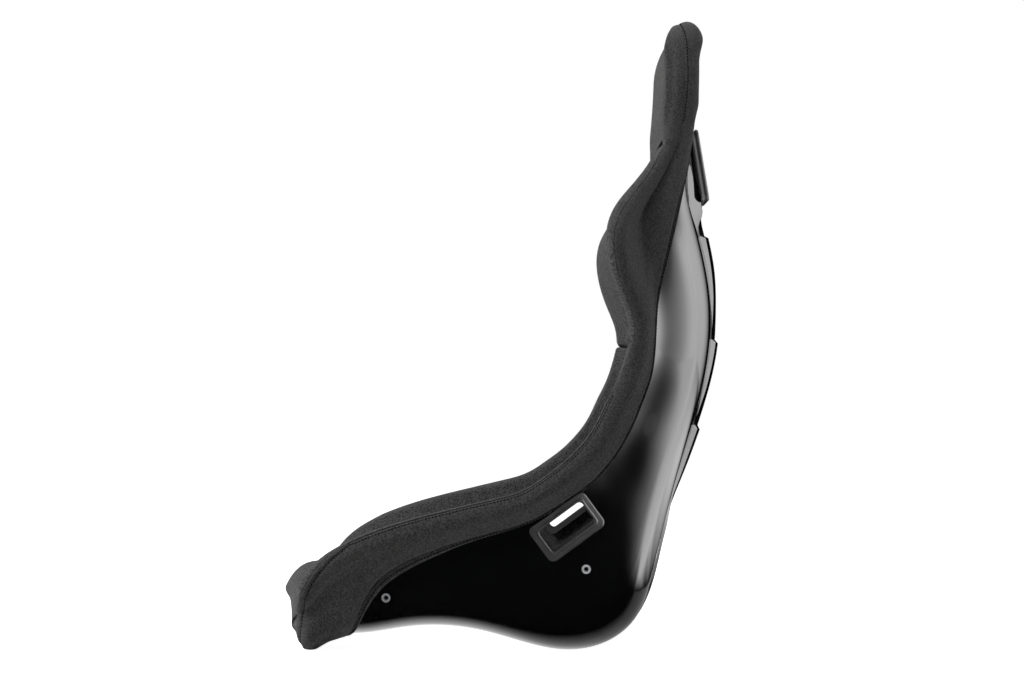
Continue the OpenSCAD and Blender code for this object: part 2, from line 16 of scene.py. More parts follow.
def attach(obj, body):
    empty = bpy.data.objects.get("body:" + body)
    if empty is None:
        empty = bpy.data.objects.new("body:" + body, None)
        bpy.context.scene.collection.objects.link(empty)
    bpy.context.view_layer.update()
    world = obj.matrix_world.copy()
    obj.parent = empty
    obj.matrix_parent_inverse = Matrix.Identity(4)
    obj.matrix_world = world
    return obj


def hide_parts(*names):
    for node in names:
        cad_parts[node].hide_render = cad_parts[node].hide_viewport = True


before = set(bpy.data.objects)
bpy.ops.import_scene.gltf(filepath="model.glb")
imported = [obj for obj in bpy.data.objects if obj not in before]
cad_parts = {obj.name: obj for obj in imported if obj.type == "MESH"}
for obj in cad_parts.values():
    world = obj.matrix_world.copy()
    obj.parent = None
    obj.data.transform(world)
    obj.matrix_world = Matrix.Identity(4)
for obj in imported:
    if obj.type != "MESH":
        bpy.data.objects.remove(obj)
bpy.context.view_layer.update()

MM = 0.001
BODY = "root"

# ---- Driving sizes of the shell and its padding ----
SHELL_T = 4.0
HIP_HALF = 207.0
HEAD_HALF = 132.0
RIM_PAD = 13.0
SIDE_FOAM = 30.0
FOOT_PAD = 13.0
FOOT_BULGE = 16.5
SEAT_FOAM = 38.0
BACK_FOAM = 34.0
HEAD_CROWN = 6.0
SCALE_STEP = 5.0

# Rows of: the outer skin at the middle (y, z), the rim (y, z), half width at the crease, half widths of the
# wall and the rim beyond HIP_HALF or HEAD_HALF, rise of the floor's middle, height of the spine, and how
# far the middle runs ahead
STATIONS = np.array([
    [-266, 20, -268, 80, 130, -11, 7, 40, 0, 41],
    [-226, 17, -242, 116, 132, -6, 12, 29, 0, 28],
    [-178, 19, -202, 143, 134, -2, 14, 17, 0, 15],
    [-122, 29, -152, 164, 136, 0, 15, 8, 0, 6],
    [-64, 32, -98, 181, 138, 0, 15, 3, 0, 1],
    [-7, 24, -46, 195, 138, 0, 15, 0, 0, 0],
    [50, 9, 0, 207, 136, 0, 16, 0, 0, 0],
    [108, 0, 40, 219, 130, 0, 17, 0, 0, 0],
    [166, 12, 72, 238, 122, 0, 16, 0, 0, 0],
    [211, 51, 98, 261, 114, 0, 15, 0, 4, 0],
    [233, 115, 125, 290, 108, 1, 14, 0, 7, 0],
    [249, 190, 148, 321, 105, 2, 14, 0, 8, 0],
    [266, 260, 165, 354, 105, 4, 16, 0, 14, 0],
    [284, 325, 180, 385, 105, 6, 20, 0, 16, 0],
    [300, 388, 192, 417, 105, 9, 29, 0, 16, 0],
    [309, 450, 200, 452, 105, 11, 39, 0, 16, 0],
    [309, 510, 195, 492, 106, 12, 51, 0, 16, 0],
    [300, 568, 178, 535, 108, 10, 59, 0, 19, 0],
    [285, 625, 166, 586, 112, 1, 61, 0, 19, 0],
    [272, 676, 175, 634, 120, -17, 43, 0, 20, 0],
    [272, 725, 210, 686, 126, -39, 1, 0, 10, 0],
    [276, 775, 242, 748, 118, 18, 34, 0, 3, 0],
    [276, 824, 254, 807, 106, 7, 14, 0, 0, 0],
    [276, 873, 259, 863, 92, 0, 4, 0, 0, 0],
    [273, 919, 260, 913, 88, -2, 0, 0, 0, 0],
], float)
LAST = len(STATIONS) - 1
HEAD_STATION = 21       # the head's stations begin here
STATIONS[:HEAD_STATION, 5:7] += HIP_HALF
STATIONS[HEAD_STATION:, 5:7] += HEAD_HALF
HEAD_ROUND_FROM = 22.2
HEAD_ROUND_OVER = 2.4
HEAD_ROUND_POWER = 2.2
PAST_RIM = 100.0
STATION_RUN = 38.0      # distance between two stations at both ends of the seat

# Where the padding starts and ends, as s and t
RIM_OVER = 0.15
RIM_SHORT = 0.03        # how much less that is above the hips,
HIP_SHORT = 0.025       # more so right above them
WING_SHORT = 0.035      # and at the shoulders
HEAD_OVER = 0.18        # how much further the padding runs past the rim beside the head
FRONT_END = -0.5
HEAD_PAST = 0.36
HEAD_END = LAST + HEAD_PAST
NECK = 20.93            # the side covers end here and the head cover begins
HEAD_PAD_FROM = 21.1    # the wing pads end here and the head pad begins
WAIST = 14.9            # the side bolsters end here and the wing pads begin
SKIN_GAP = 0.8
HALF_GAP = 0.4
RIM_RADIUS = 26.0
NOSE_RADIUS = 30.0
INNER_RIM_RADIUS = 12.0
FOOT_RADIUS = 18.0
RIM_SLIM = 0.6


# ---- Smooth curves ----
def blend_four(a, b, c, d, f):
    """Point at f, from 0 to 1, on the cubic led by four points."""
    near = (3 * f**3 - 6 * f * f + 4) * b
    far = (3 * (f + f * f - f**3) + 1) * c
    return ((1 - f) ** 3 * a + near + far + f**3 * d) / 6


def with_ends(c):
    """The leading points with one more at each end, so that the curve reaches both ends."""
    return np.concatenate([2 * c[:1] - c[1:2], c, 2 * c[-1:] - c[-2:-1]], 0)


def along(c, u):
    """Points at u on a smooth curve led by the rows of c; past both ends it runs on straight."""
    n = len(c) - 1
    lead = with_ends(c)
    inside = np.clip(u, 0, n)
    i = np.minimum(np.floor(inside).astype(int), n - 1)
    f = (inside - i)[..., None]
    curve = blend_four(lead[i], lead[i + 1], lead[i + 2], lead[i + 3], f)
    before = np.minimum(u, 0)[..., None] * (c[1] - c[0])
    after = np.maximum(u - n, 0)[..., None] * (c[n] - c[n - 1])
    return curve + before + after


def guide(points, rounds=14):
    """Leading points whose curve passes through every one of points."""
    points = np.asarray(points, float)
    if points.ndim == 1:
        points = points[:, None]
    lead = points.copy()
    for _ in range(rounds):
        lead = lead + points - along(lead, np.arange(len(points), dtype=float))
    return lead


def ease(v):
    c = np.clip(v, 0, 1)
    return c * c * (3 - 2 * c)


def round_in(m, r):
    """Quarter-round from 0 at the edge to 1 at the distance r from it."""
    c = np.clip(m / r, 0, 1)
    return np.sqrt(1 - (1 - c) ** 2)


PATH = guide(STATIONS)


# ---- The shell's outer skin ----
def narrowing(s):
    m = np.clip((s - HEAD_ROUND_FROM) / HEAD_ROUND_OVER, 0, 0.999)
    return (1 - m**HEAD_ROUND_POWER) ** (1 / HEAD_ROUND_POWER)


def wall_guide(b, w, r, h):
    low = ease((200 - h) / 80)
    lean = (r - w) * (0.1 + 0.34 * low)
    full = 0.1 * lean * low * ease((r - w - 15) / 12)
    zero = 0 * h
    pairs = [
        (b, zero),
        (b + 0.5 * (w - b), zero),
        (w - 0.06 * (w - b), 0.16 * h),
        (w + full, 0.36 * h),
        (w + 2 * full, 0.61 * h),
        (w + lean * (1 - 0.6 * low) - full, 0.82 * h),
        (r, h),
    ]
    return np.stack([np.stack(p, -1) for p in pairs], 0)


def side_curve(c, t):
    """Points on the wall, where each point has its own leading points c."""
    n = 6
    lead = with_ends(c)
    u = np.clip((t - 1) * n, 0, n)
    i = np.minimum(np.floor(u).astype(int), n - 1)
    f = (u - i)[..., None]

    def lead_at(k):
        return np.take_along_axis(lead, (i + k)[None, ..., None], 0)[0]

    curve = blend_four(lead_at(0), lead_at(1), lead_at(2), lead_at(3), f)
    last_run = c[6] - c[5]
    last_run = last_run * np.stack([1 - 0.9 * ease((60 - c[6][..., 1]) / 30), 1 + 0 * t], -1)
    last_run = last_run / np.linalg.norm(last_run, axis=-1, keepdims=True)
    return curve + last_run * (np.maximum(t - 2, 0) * PAST_RIM)[..., None]


def skin(s, t):
    """Points of the shell's outer skin at s and t."""
    s, t = np.broadcast_arrays(s, t)
    a = np.abs(t)
    v = along(PATH, s)
    back_y, back_z, rim_y, rim_z, crease, wall, rim, crown, _, lead = np.moveaxis(v, -1, 0)
    h = np.hypot(rim_y - back_y, rim_z - back_z)
    run_y = (rim_y - back_y) / h
    run_z = (rim_z - back_z) / h
    side = side_curve(wall_guide(crease, wall, rim, h), a)
    flat = a <= 1
    x = np.where(flat, crease * a, side[..., 0]) * narrowing(s)
    q = np.where(flat, crown * (1 - np.minimum(a, 1) ** 4), side[..., 1])
    ahead = lead * np.maximum(0, 1 - (x / wall) ** 2) ** 2.2
    return np.stack([np.sign(t) * x, back_y + run_y * q - ahead, back_z + run_z * q], -1)


def outward(s, t, probe=0.002):
    """Unit normals that point out of the shell."""
    over = skin(s, t + probe) - skin(s, t - probe)
    forward = skin(s + probe, t) - skin(s - probe, t)
    n = np.cross(forward, over)
    return n / np.linalg.norm(n, axis=-1, keepdims=True)


# ---- Relief of the back: the spine and three scales, each highest at its top ----
SCALES = ((11, 13.06), (13.15, 15.1), (15.2, 17.7))
SCALE_FALL = 0.08


def scale_rise(s, start, top):
    rising = (np.clip((s - start) / (top - start), 0, 1)) ** 1.2
    falling = np.clip(1 - (s - top) / SCALE_FALL, 0, 1)
    return np.where(s <= start, 0, np.where(s <= top, rising, falling))


def relief(s, t):
    a = np.abs(t)
    ridge = along(PATH, s)[..., 8]
    rise = np.max([scale_rise(s, *k) for k in SCALES], axis=0)
    step = ease((0.82 - a) / 0.03)
    on_scale = np.minimum(rise * 3, 1)
    spine = 0.38 * np.clip((1 - a) / 0.18, 0, 1) + 0.5 * ease((0.82 - a) / 0.5)
    spine = spine + 0.12 * (step * on_scale + ease((0.82 - a) / 0.5) * (1 - on_scale))
    above = np.maximum(ease((s - 17.9) / 0.5), ease((11.6 - s) / 0.8))
    return ridge * (spine * (1 - above) + ease((1 - a) / 0.16) * above) + SCALE_STEP * step * rise


def sheet(s, t, off):
    """Points that stand off from the skin by off."""
    return skin(s, t) + (off + relief(s, t))[..., None] * outward(s, t)


# ---- Edges of the cover on the outside of the shell ----
COVER_EDGE = guide([
    0.78, 0.92, 1.42, 1.65, 1.74, 1.81, 1.85, 1.875, 1.88, 1.86, 1.82, 1.78, 1.75,
    1.75, 1.76, 1.80, 1.76, 1.61, 1.44, 1.27, 1.12, 0.98, 0.9, 0.9, 0.9])
HEM_WIDTHS = np.array(
    [15, 15, 14, 13, 11, 6, 4, 4, 4, 4, 4, 4, 4, 4, 4, 4, 4, 5, 7, 9, 9, 9, 9, 9, 9], float)[:, None]


def edge_t(s):
    return along(COVER_EDGE, s)[..., 0]


def hem_width(s):
    return along(HEM_WIDTHS, s)[..., 0]


def side_run(s):
    """Length of the side from crease to rim."""
    v = along(PATH, s)
    return np.hypot(v[..., 2] - v[..., 0], v[..., 3] - v[..., 1]) + 0.6 * (v[..., 5] - v[..., 4])


def cover_thick(s, t):
    """Padding on the walls, and under the front corners, on which the seat rests."""
    foot = ease((1.5 - s) / 1.4)
    under = 3 + FOOT_PAD * foot
    wall = under + (RIM_PAD - 2 - under) * ease((t - 1.12 - 0.2 * foot) / 0.35)
    return wall + FOOT_BULGE * foot * ease((t - 1.16) / 0.16) * ease((1.55 - t) / 0.2)


def rim_over(s):
    """How far the padding runs past the rim, as a t beyond 2."""
    beside_head = HEAD_OVER * ease((s - 20.5) / 1.6) * (1 - ease((s - 23.4) / 1.1))
    short = RIM_SHORT * ease((s - 8) / 1.5) + HIP_SHORT * np.exp(-((s - 10.2) / 1.3) ** 2)
    return RIM_OVER - short - WING_SHORT * ease((s - 14) / 2) * ease((20.6 - s) / 1) + beside_head


def backing(s, t, past, over):
    """Points that a pad lies on: at the height over from the skin, and past the rim beside its middle."""
    beyond = (np.abs(t) > 2) | (s < 0) | (s > LAST)
    return sheet(s, t, np.where(beyond, past - SHELL_T / 2, over))


def outer_backing(s, t):
    return backing(s, t, HALF_GAP, SKIN_GAP)


def inner_backing(s, t):
    return backing(s, t, -HALF_GAP, -SHELL_T - SKIN_GAP)


# ---- Meshes ----
def new_mesh(points, faces=(), unit=MM):
    mesh = bpy.data.meshes.new("made")
    mesh.from_pydata((np.asarray(points) * unit).tolist(), [], faces)
    return mesh


def new_object(name, data):
    made = bpy.data.objects.new(name, data)
    bpy.context.scene.collection.objects.link(made)
    return made


def place(mesh, name, finish, *nodes):
    """Puts a finished mesh on the seat's body, in place of the named CAD nodes."""
    material, slot = finish
    mesh.name = name
    mesh.materials.clear()
    mesh.materials.append(material)
    piece = new_object(name, mesh)
    if nodes:
        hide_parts(*nodes)
    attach(piece, BODY)
    return piece


def grid_faces(n, m, first=0, flip=False):
    """Quads over an n by m grid of points whose numbers start at first."""
    i = np.arange(n - 1)[:, None] * m + np.arange(m - 1)[None, :] + first
    quads = np.stack([i, i + 1, i + m + 1, i + m], -1).reshape(-1, 4)
    return quads[:, ::-1] if flip else quads


def closed_mesh(outer, inner, mirror=False, sharp=50):
    """Closed mesh between two grids of points of one shape, with a run length UV on both."""
    n, m = outer.shape[:2]
    half = n * m
    points = np.concatenate([outer.reshape(-1, 3), inner.reshape(-1, 3)])
    ring = np.concatenate([
        np.arange(m), np.arange(1, n) * m + m - 1, (n - 1) * m + np.arange(m - 2, -1, -1),
        np.arange(n - 2, 0, -1) * m])
    after = np.roll(ring, -1)
    wall = np.stack([ring, ring + half, after + half, after], -1)
    faces = np.concatenate([grid_faces(n, m), grid_faces(n, m, half, flip=True), wall])
    if mirror:
        points = points * (-1, 1, 1)
        faces = faces[:, ::-1]
    mesh = new_mesh(points, faces.tolist())
    set_uv(mesh, "cloth", np.concatenate([cloth_run(outer), cloth_run(inner)]))
    tidy(mesh, sharp)
    return mesh


def set_uv(mesh, label, at_points):
    corner = np.zeros(len(mesh.loops), dtype=np.int32)
    mesh.loops.foreach_get("vertex_index", corner)
    mesh.uv_layers.new(name=label).data.foreach_set("uv", at_points[corner].ravel())


def cloth_run(points):
    """UV in metres along and across the cloth, so that a weave follows the surface."""
    down = np.linalg.norm(np.diff(points, axis=0), axis=-1)
    over = np.linalg.norm(np.diff(points, axis=1), axis=-1)
    u = np.zeros(points.shape[:2])
    v = np.zeros(points.shape[:2])
    u[1:] = np.cumsum(down.mean(1))[:, None]
    v[:, 1:] = np.cumsum(over, axis=1)
    v = v - v[:, v.shape[1] // 2][:, None]
    return np.stack([u, v], -1).reshape(-1, 2) * MM


def tidy(mesh, sharp):
    """Merges doubles, turns faces outwards and marks the sharp edges."""
    made = bmesh.new()
    made.from_mesh(mesh)
    bmesh.ops.remove_doubles(made, verts=made.verts, dist=2e-6)
    bmesh.ops.dissolve_degenerate(made, edges=made.edges, dist=1e-6)
    bmesh.ops.recalc_face_normals(made, faces=made.faces)
    made.to_mesh(mesh)
    made.free()
    mesh.polygons.foreach_set("use_smooth", [True] * len(mesh.polygons))
    mesh.set_sharp_from_angle(angle=math.radians(sharp))


def spread(a, b, step):
    """Values from a to b, about step apart."""
    return np.linspace(a, b, max(2, int(round(abs(b - a) / step)) + 1))


def both_sides(half, sign=-1):
    """Values over both halves of the seat, from those of the near half outwards."""
    return np.concatenate([sign * half[..., :0:-1], half], -1)


# ---- How a padded edge rolls over into its seam ----
# Each step of the roll is (distance in from the edge, height over the backing)
SEAM_ROLL = ((3.0, 0.0), (1.9, 0.35), (0.95, 0.9), (0.3, 1.6), (0.0, 2.5))
SEAM_TOP = 3.0


def seam_edge(radius, turns=12):
    """Distances in from a seam edge, with the heights and foam shares that go with them."""
    roll, arc = edge_arc(turns)
    inwards = np.concatenate([roll[:, 0], radius * (1 - np.cos(arc))])
    height = np.concatenate([roll[:, 1], np.full(turns, SEAM_TOP)])
    return inwards, height, np.concatenate([0 * roll[:, 0], np.sin(arc)])


def edge_arc(turns):
    return np.array(SEAM_ROLL), np.linspace(0, math.pi / 2, turns + 1)[1:]


def plain_edge(radius, turns=14):
    """As seam_edge, where the cloth runs on over the edge without a seam."""
    arc = np.linspace(0, math.pi / 2, turns + 1)
    return radius * (1 - np.cos(arc)), SEAM_TOP * np.sin(arc), np.sin(arc)


def tucked(edge, soft=3.0):
    """Height over the backing at the distance edge from a stitched edge that lies flat."""
    return 0.4 + (SEAM_TOP - 0.4) * np.sqrt(np.clip(edge / soft, 0, 1))


def rim_seam(s):
    """1 where the rim's sewn seam shows along its crest, 0 where the cloth runs on over it."""
    return ease((s - 1.7) / 0.5) * ease((12.9 - s) / 1.2)


# ---- Side covers ----
def rim_columns(s, start, radius, step, seam=1.0):
    """t values across a pad from start to past the rim, with each column's height and foam share.

    Where seam is 1 the edge rolls in to a sewn seam; where it is 0 the cloth runs on over the rim.
    """
    roll, arc = edge_arc(14)
    roll, arc = roll[::-1], arc[::-1]
    radius = np.broadcast_to(radius, s.shape)[:, None]
    seam = np.broadcast_to(seam, s.shape)[:, None]
    inwards = np.concatenate([radius * (1 - np.cos(arc)), seam * roll[None, :, 0]], 1)
    heights = np.concatenate(
        [SEAM_TOP * (seam + (1 - seam) * np.sin(arc)), seam * roll[None, :, 1]], 1)
    shares = np.concatenate([np.sin(arc), 0 * roll[:, 0]])
    over = rim_over(s)[:, None]
    run = side_run(s)[:, None]
    past = np.where(
        inwards > over * PAST_RIM, 2 - (inwards - over * PAST_RIM) / run, 2 + over - inwards / PAST_RIM)
    lowest = past[:, :1]
    count = int(np.max((lowest[:, 0] - start) * run[:, 0]) / step) + 1
    part = np.linspace(0, 1, count + 1)[None, :-1]
    t = np.concatenate([start[:, None] + (lowest - start[:, None]) * part, past], 1)
    heights = np.concatenate([np.full((len(s), count), SEAM_TOP), heights], 1)
    return t, heights, np.concatenate([np.full(count, 1.0), shares])


NOSE_TO = 2.4            # rows lie close together from the front edge to here


def full(s):
    """Rows at the full height of the cloth and its foam."""
    return s, np.full(len(s), SEAM_TOP), np.ones(len(s))


def joined(*stretches):
    """Rows put end to end; each stretch is (s, heights over the backing, shares of the foam's rise)."""
    return [np.concatenate(k) for k in zip(*stretches)]


def front_rows(stop, step, first=FRONT_END):
    """Rows from the front edge to stop."""
    inwards, height, share = plain_edge(NOSE_RADIUS)
    s = first + inwards / STATION_RUN
    rest = spread(s[-1], min(stop, NOSE_TO), 0.04)[1:]
    if stop > NOSE_TO:
        rest = np.concatenate([rest, spread(NOSE_TO, stop, step)[1:]])
    return joined((s, height, share), full(rest))


def over_grid(rows, cols, free):
    """Height and foam share over a grid, where free is the distance from a stitched edge."""
    height = np.minimum(np.minimum(rows[1][:, None], cols[1]), tucked(free))
    return height, rows[2][:, None] * cols[2][None, :]


def dent(points, path, deep, wide):
    """Depth of a sewn seam at each point, for a path of (y, z) seen from the side."""
    at = points[..., 1:]
    nearest = np.full(at.shape[:-1], np.inf)
    for a, b in zip(path[:-1], path[1:]):
        a, run = np.array(a, float), np.subtract(b, a).astype(float)
        f = np.clip(((at - a) @ run) / (run @ run), 0, 1)[..., None]
        nearest = np.minimum(nearest, np.linalg.norm(at - a - f * run, axis=-1))
    return deep * np.exp(-(nearest / wide) ** 2)


# ---- Covers on the outside: both sides, the front and the head ----
FOAM_RUN = 45.0          # distance from the hem over which the foam reaches its thickness
NECK_RUN = 49.0          # distance between two stations at the neck
BACK_MORE = RIM_PAD - 4


def past_edge(s, t):
    """0 on the shell, rising to 1 where the cloth ends past its edge."""
    return ease(np.maximum(np.maximum((np.abs(t) - 2) / RIM_OVER, s / FRONT_END), (s - LAST) / HEAD_PAST))


def outer_base(s, t):
    """Where a cover's cloth starts from: over the skin, and sinking to the rim's middle past it."""
    return SKIN_GAP + (HALF_GAP - SHELL_T / 2 - SKIN_GAP) * past_edge(s, t)


def inner_base(s, t):
    return -SHELL_T - SKIN_GAP + (SHELL_T / 2 + SKIN_GAP - HALF_GAP) * past_edge(s, t)


def cover_foam(s, t):
    """Foam of the side covers and the head cover; both agree where they meet at the neck."""
    a = np.abs(t)
    from_hem = np.maximum(a - edge_t(s), 0) * side_run(s)
    from_neck = np.maximum(s - NECK, 0) * NECK_RUN
    side = cover_thick(s, a) * ease(from_hem / FOAM_RUN + 0.1)
    wide = ease((a - 0.9) / 0.4)
    top = ease(s - 22.9)
    head = BACK_MORE * wide + 9 * top + BACK_MORE * (1 - wide) * top
    head = head * ease(np.hypot(from_hem, from_neck) / FOAM_RUN + 0.1)
    return side + (head - side) * ease((s - 20.4) / 1.4)


def rim_radius(s):
    return RIM_RADIUS * (1 - 0.7 * ease((s - 20.6) / 1.2))


# The seam down the front of the foot, as (y, z) seen from the side
FOOT_SEAM = ((-200, 157), (-229, 133), (-247, 112), (-259, 94), (-267, 74), (-271, 57), (-273, 38),
             (-275, 14), (-276, -6))
FOOT_DENT = (3.0, 1.8)   # depth and half width of its dent
HEAD_SEAM = 1.97         # t of the seam up each side of the head
HEAD_DENT = (2.0, 1.3)
COLUMN = 1.6             # distance between the columns of a cover
FRONT_HALF = 0.66        # t at which the front cover ends, and s at its back


def cover_side_mesh(mirror=False):
    rows = front_rows(NECK + 0.022, 0.11)
    line = rows[0]
    start = edge_t(line) + (hem_width(line) + 0.6) / side_run(line)
    cols = rim_columns(line, start, rim_radius(line), COLUMN, rim_seam(line))
    s, t = line[:, None], cols[0]
    height, share = over_grid(rows, cols, (t - start[:, None]) * side_run(s))
    off = outer_base(s, t) + height + cover_foam(s, t) * share
    sewn = dent(sheet(s, t, off), FOOT_SEAM, *FOOT_DENT)
    outer = sheet(s, t, off - np.minimum(sewn, 0.7 * (off - outer_base(s, t))))
    outer[..., 2] = np.maximum(outer[..., 2], 0)
    inner = outer_backing(s, t)
    inner[..., 2] = np.maximum(inner[..., 2], 0.4)
    return closed_mesh(outer, inner, mirror)


def cover_front_mesh():
    rows, row_height, row_share = front_rows(FRONT_HALF, 0.09)
    half = FRONT_HALF
    s, t = rows[:, None], np.linspace(-half, half, 61)[None, :]
    swell = ease((0.8 - s) / 0.5) * ease((half + 0.1 - np.abs(t)) / 0.3)
    height = np.minimum(row_height[:, None], tucked((half - np.abs(t)) * 130))
    height = np.minimum(height, tucked((rows[-1] - s) * STATION_RUN))
    outer = sheet(s, t, outer_base(s, t) + height + 6 * swell * row_share[:, None])
    return closed_mesh(outer, outer_backing(s, t))


def head_rows(first, step=0.1):
    """Rows up to the seam over the top of the head."""
    inwards, height, share = plain_edge(NOSE_RADIUS)
    high = [k[::-1] for k in (HEAD_END - inwards / STATION_RUN, height, share)]
    return joined(full(spread(first, high[0][0], step)[:-1]), high)


def cover_head_mesh():
    rows = head_rows(NECK + 0.03)
    line = rows[0]
    half, col_height, col_share = rim_columns(line, np.zeros(len(line)), rim_radius(line), COLUMN, 0.0)
    s, t = line[:, None], both_sides(half)
    free = np.maximum(np.abs(t) - edge_t(s), 0) * side_run(s) * 3 + (s - line[0]) * NECK_RUN
    height, share = over_grid(rows, (t, both_sides(col_height, 1), both_sides(col_share, 1)), free)
    from_seam = (np.abs(t) - HEAD_SEAM) * side_run(s)
    sewn = HEAD_DENT[0] * np.exp(-(from_seam / HEAD_DENT[1]) ** 2) * ease((s - 21.3) / 0.7) * share
    outer = sheet(s, t, outer_base(s, t) + height + cover_foam(s, t) * share - sewn)
    return closed_mesh(outer, outer_backing(s, t))


def hem_mesh(mirror=False):
    """Folded strip along the border between the cloth and the bare shell."""
    rows = spread(0.2, 21, 0.1)
    across = np.array([0, 0.03, 0.1, 0.25, 0.5, 0.75, 0.9, 0.97, 1])
    rise = np.array([0.1, 0.75, 1.5, 2.1, 2.2, 2.1, 1.5, 0.75, 0.1])
    t = edge_t(rows)[:, None] + (hem_width(rows) / side_run(rows))[:, None] * across
    s = rows[:, None]
    outer = sheet(s, t, SKIN_GAP + rise)
    outer[..., 2] = np.maximum(outer[..., 2], 0.2)
    return closed_mesh(outer, sheet(s, t, SKIN_GAP), mirror)


# ---- Pads on the inside of the walls ----
def foam_from(s):
    """Lower edge of the side pads."""
    return 1.34 - 0.16 * ease((s - 8) / 4)


def cushion_to(s):
    return foam_from(s) - 0.05


def seam_rows(at, way):
    """Rows that roll in to a seam at the station at; way is 1 at a pad's first seam and -1 at its last."""
    inwards, height, share = seam_edge(9.0, 6)
    return [k[::way] for k in (at + way * inwards / STATION_RUN, height, share)]


def side_foam(s, t):
    thick = SIDE_FOAM * (1 - 0.45 * ease((s - 18.5) / 2))
    low = (t - foam_from(s)) * side_run(s)
    swell = (0.8 + 0.2 * ease(low / 60)) * (1 - RIM_SLIM * ease((t - 1.5) / 0.45))
    return (thick * swell - 2) * round_in(low + 0.5, FOOT_RADIUS)


def side_pad_mesh(rows, mirror):
    line = rows[0]
    start = foam_from(line)
    cols = rim_columns(line, start, INNER_RIM_RADIUS, 5.0, rim_seam(line))
    s, t = line[:, None], cols[0]
    height, share = over_grid(rows, cols, (t - start[:, None]) * side_run(s))
    outer = sheet(s, t, inner_base(s, t) - height - side_foam(s, t) * share)
    return closed_mesh(outer, inner_backing(s, t), mirror)


def bolster_mesh(mirror):
    rows = front_rows(WAIST - 0.6, 0.12, -0.3)
    high = seam_rows(WAIST - 0.03, -1)
    keep = rows[0] < high[0][0] - 0.04
    return side_pad_mesh(joined([k[keep] for k in rows], high), mirror)


def wing_mesh(mirror):
    low, high = seam_rows(WAIST + 0.03, 1), seam_rows(HEAD_PAD_FROM - 0.07, -1)
    return side_pad_mesh(joined(low, full(spread(low[0][-1], high[0][0], 0.12)[1:-1]), high), mirror)


# ---- Cushions and headrest ----
CUSHION_ROUND = 22.0


def cushion_grid(first, last, nose):
    inwards = np.unique(np.round(seam_edge(CUSHION_ROUND, 10)[0], 3))
    run = STATION_RUN * 1.5
    high = (last - inwards / run)[::-1]
    if nose:
        low = FRONT_END + np.unique(np.round(seam_edge(NOSE_RADIUS)[0], 3)) / STATION_RUN
    else:
        low = first + inwards / run
    rows = np.concatenate([low, spread(low[-1], high[0], 0.13)[1:-1], high])
    edge = 1 - inwards[::-1] / 150
    half = np.concatenate([spread(0, edge[0], 0.028)[:-1], edge])
    t = both_sides(half) * cushion_to(rows)[:, None]
    return rows[:, None], t


def cushion_mesh(first, last, thick, nose=False):
    s, t = cushion_grid(first, last, nose)
    side = (cushion_to(s) - np.abs(t)) * 110
    crown = 1 + 0.1 * (1 - t * t)
    to_last = (last - s) * STATION_RUN
    if nose:
        ends = round_in((s - FRONT_END) * STATION_RUN, NOSE_RADIUS) * round_in(to_last + 2, CUSHION_ROUND)
    else:
        ends = round_in(np.minimum((s - first) * STATION_RUN, to_last) * 1.5 + 2, CUSHION_ROUND)
    rise = thick * crown * round_in(side + 2, CUSHION_ROUND) * ends
    return closed_mesh(sheet(s, t, inner_base(s, t) - 1 - rise), inner_backing(s, t))


def head_pad_mesh():
    rows = head_rows(HEAD_PAD_FROM, 0.09)[0]
    low = HEAD_PAD_FROM + np.array([0, 0.012, 0.03, 0.06])
    rows = np.concatenate([low, rows[rows > low[-1] + 0.02]])
    a = both_sides(np.sin(np.linspace(0, math.pi / 2, 34)))[None, :]
    s = rows[:, None]
    back_y, back_z, rim_y, rim_z = np.moveaxis(along(PATH, s), -1, 0)[:4]
    run_y, run_z = rim_y - back_y, rim_z - back_z
    h = np.hypot(run_y, run_z)
    rim = 2 + rim_over(s)
    edge = sheet(s, rim, -HALF_GAP - 1 - SHELL_T / 2)
    ends = round_in((s - HEAD_PAD_FROM) * NECK_RUN + 1, 16)
    ends = ends * round_in((HEAD_END - s) * STATION_RUN, NOSE_RADIUS)
    lift = HEAD_CROWN * (1 - np.abs(a) ** 2.4) ** 0.8 * ends
    outer = [a * edge[..., 0], edge[..., 1] + run_y / h * lift, edge[..., 2] + run_z / h * lift]
    return closed_mesh(np.stack(outer, -1), inner_backing(s, a * rim))


# ---- Shell ----
SHELL_SHARP = 40         # degrees


def shell_mesh():
    lip = np.array([-0.03, 0, 0.02, 0.04, 0.06, SCALE_FALL])
    lips = [top + lip for _, top in SCALES]
    rows = np.unique(np.round(np.concatenate([np.linspace(0, LAST, 193), *lips]), 4))
    half = np.concatenate([
        spread(0, 0.66, 0.08), spread(0.7, 0.78, 0.02), spread(0.786, 0.826, 0.005),
        spread(0.84, 1.0, 0.02), spread(1.02, 1.4, 0.016), spread(1.43, 2, 0.027)])
    s, t = np.meshgrid(rows, both_sides(half), indexing="ij")
    return closed_mesh(sheet(s, t, 0), sheet(s, t, -SHELL_T), sharp=SHELL_SHARP)


# ---- Harness openings ----
LAP = (75.0, 38.0)
SHOULDER = (76.0, 84.0)
CROTCH = (70.0, 36.0)
OPENING_ROUND = 6.0
CORNER_SHARE = 0.35     # how much rounder a trim's corners get further out
REACH = 65              # how far a cutter reaches to both sides of an opening
MOUNT_PITCH = 290.0
MOUNT_RISE = math.radians(9.5)


def turn(axis, angle):
    return Matrix.Rotation(math.radians(angle), 4, axis)


LAP_FRAME = Matrix.Translation((HIP_HALF + 2, 104, 185)) @ turn("X", 37.5) @ turn("Z", 90) \
    @ turn("X", 90) @ turn("X", 2)
SHOULDER_FRAME = Matrix.Translation((62, 285, 717)) @ turn("X", 10.5) @ turn("X", -90)
CROTCH_FRAME = Matrix.Translation((0, -42, 32)) @ turn("X", 172)


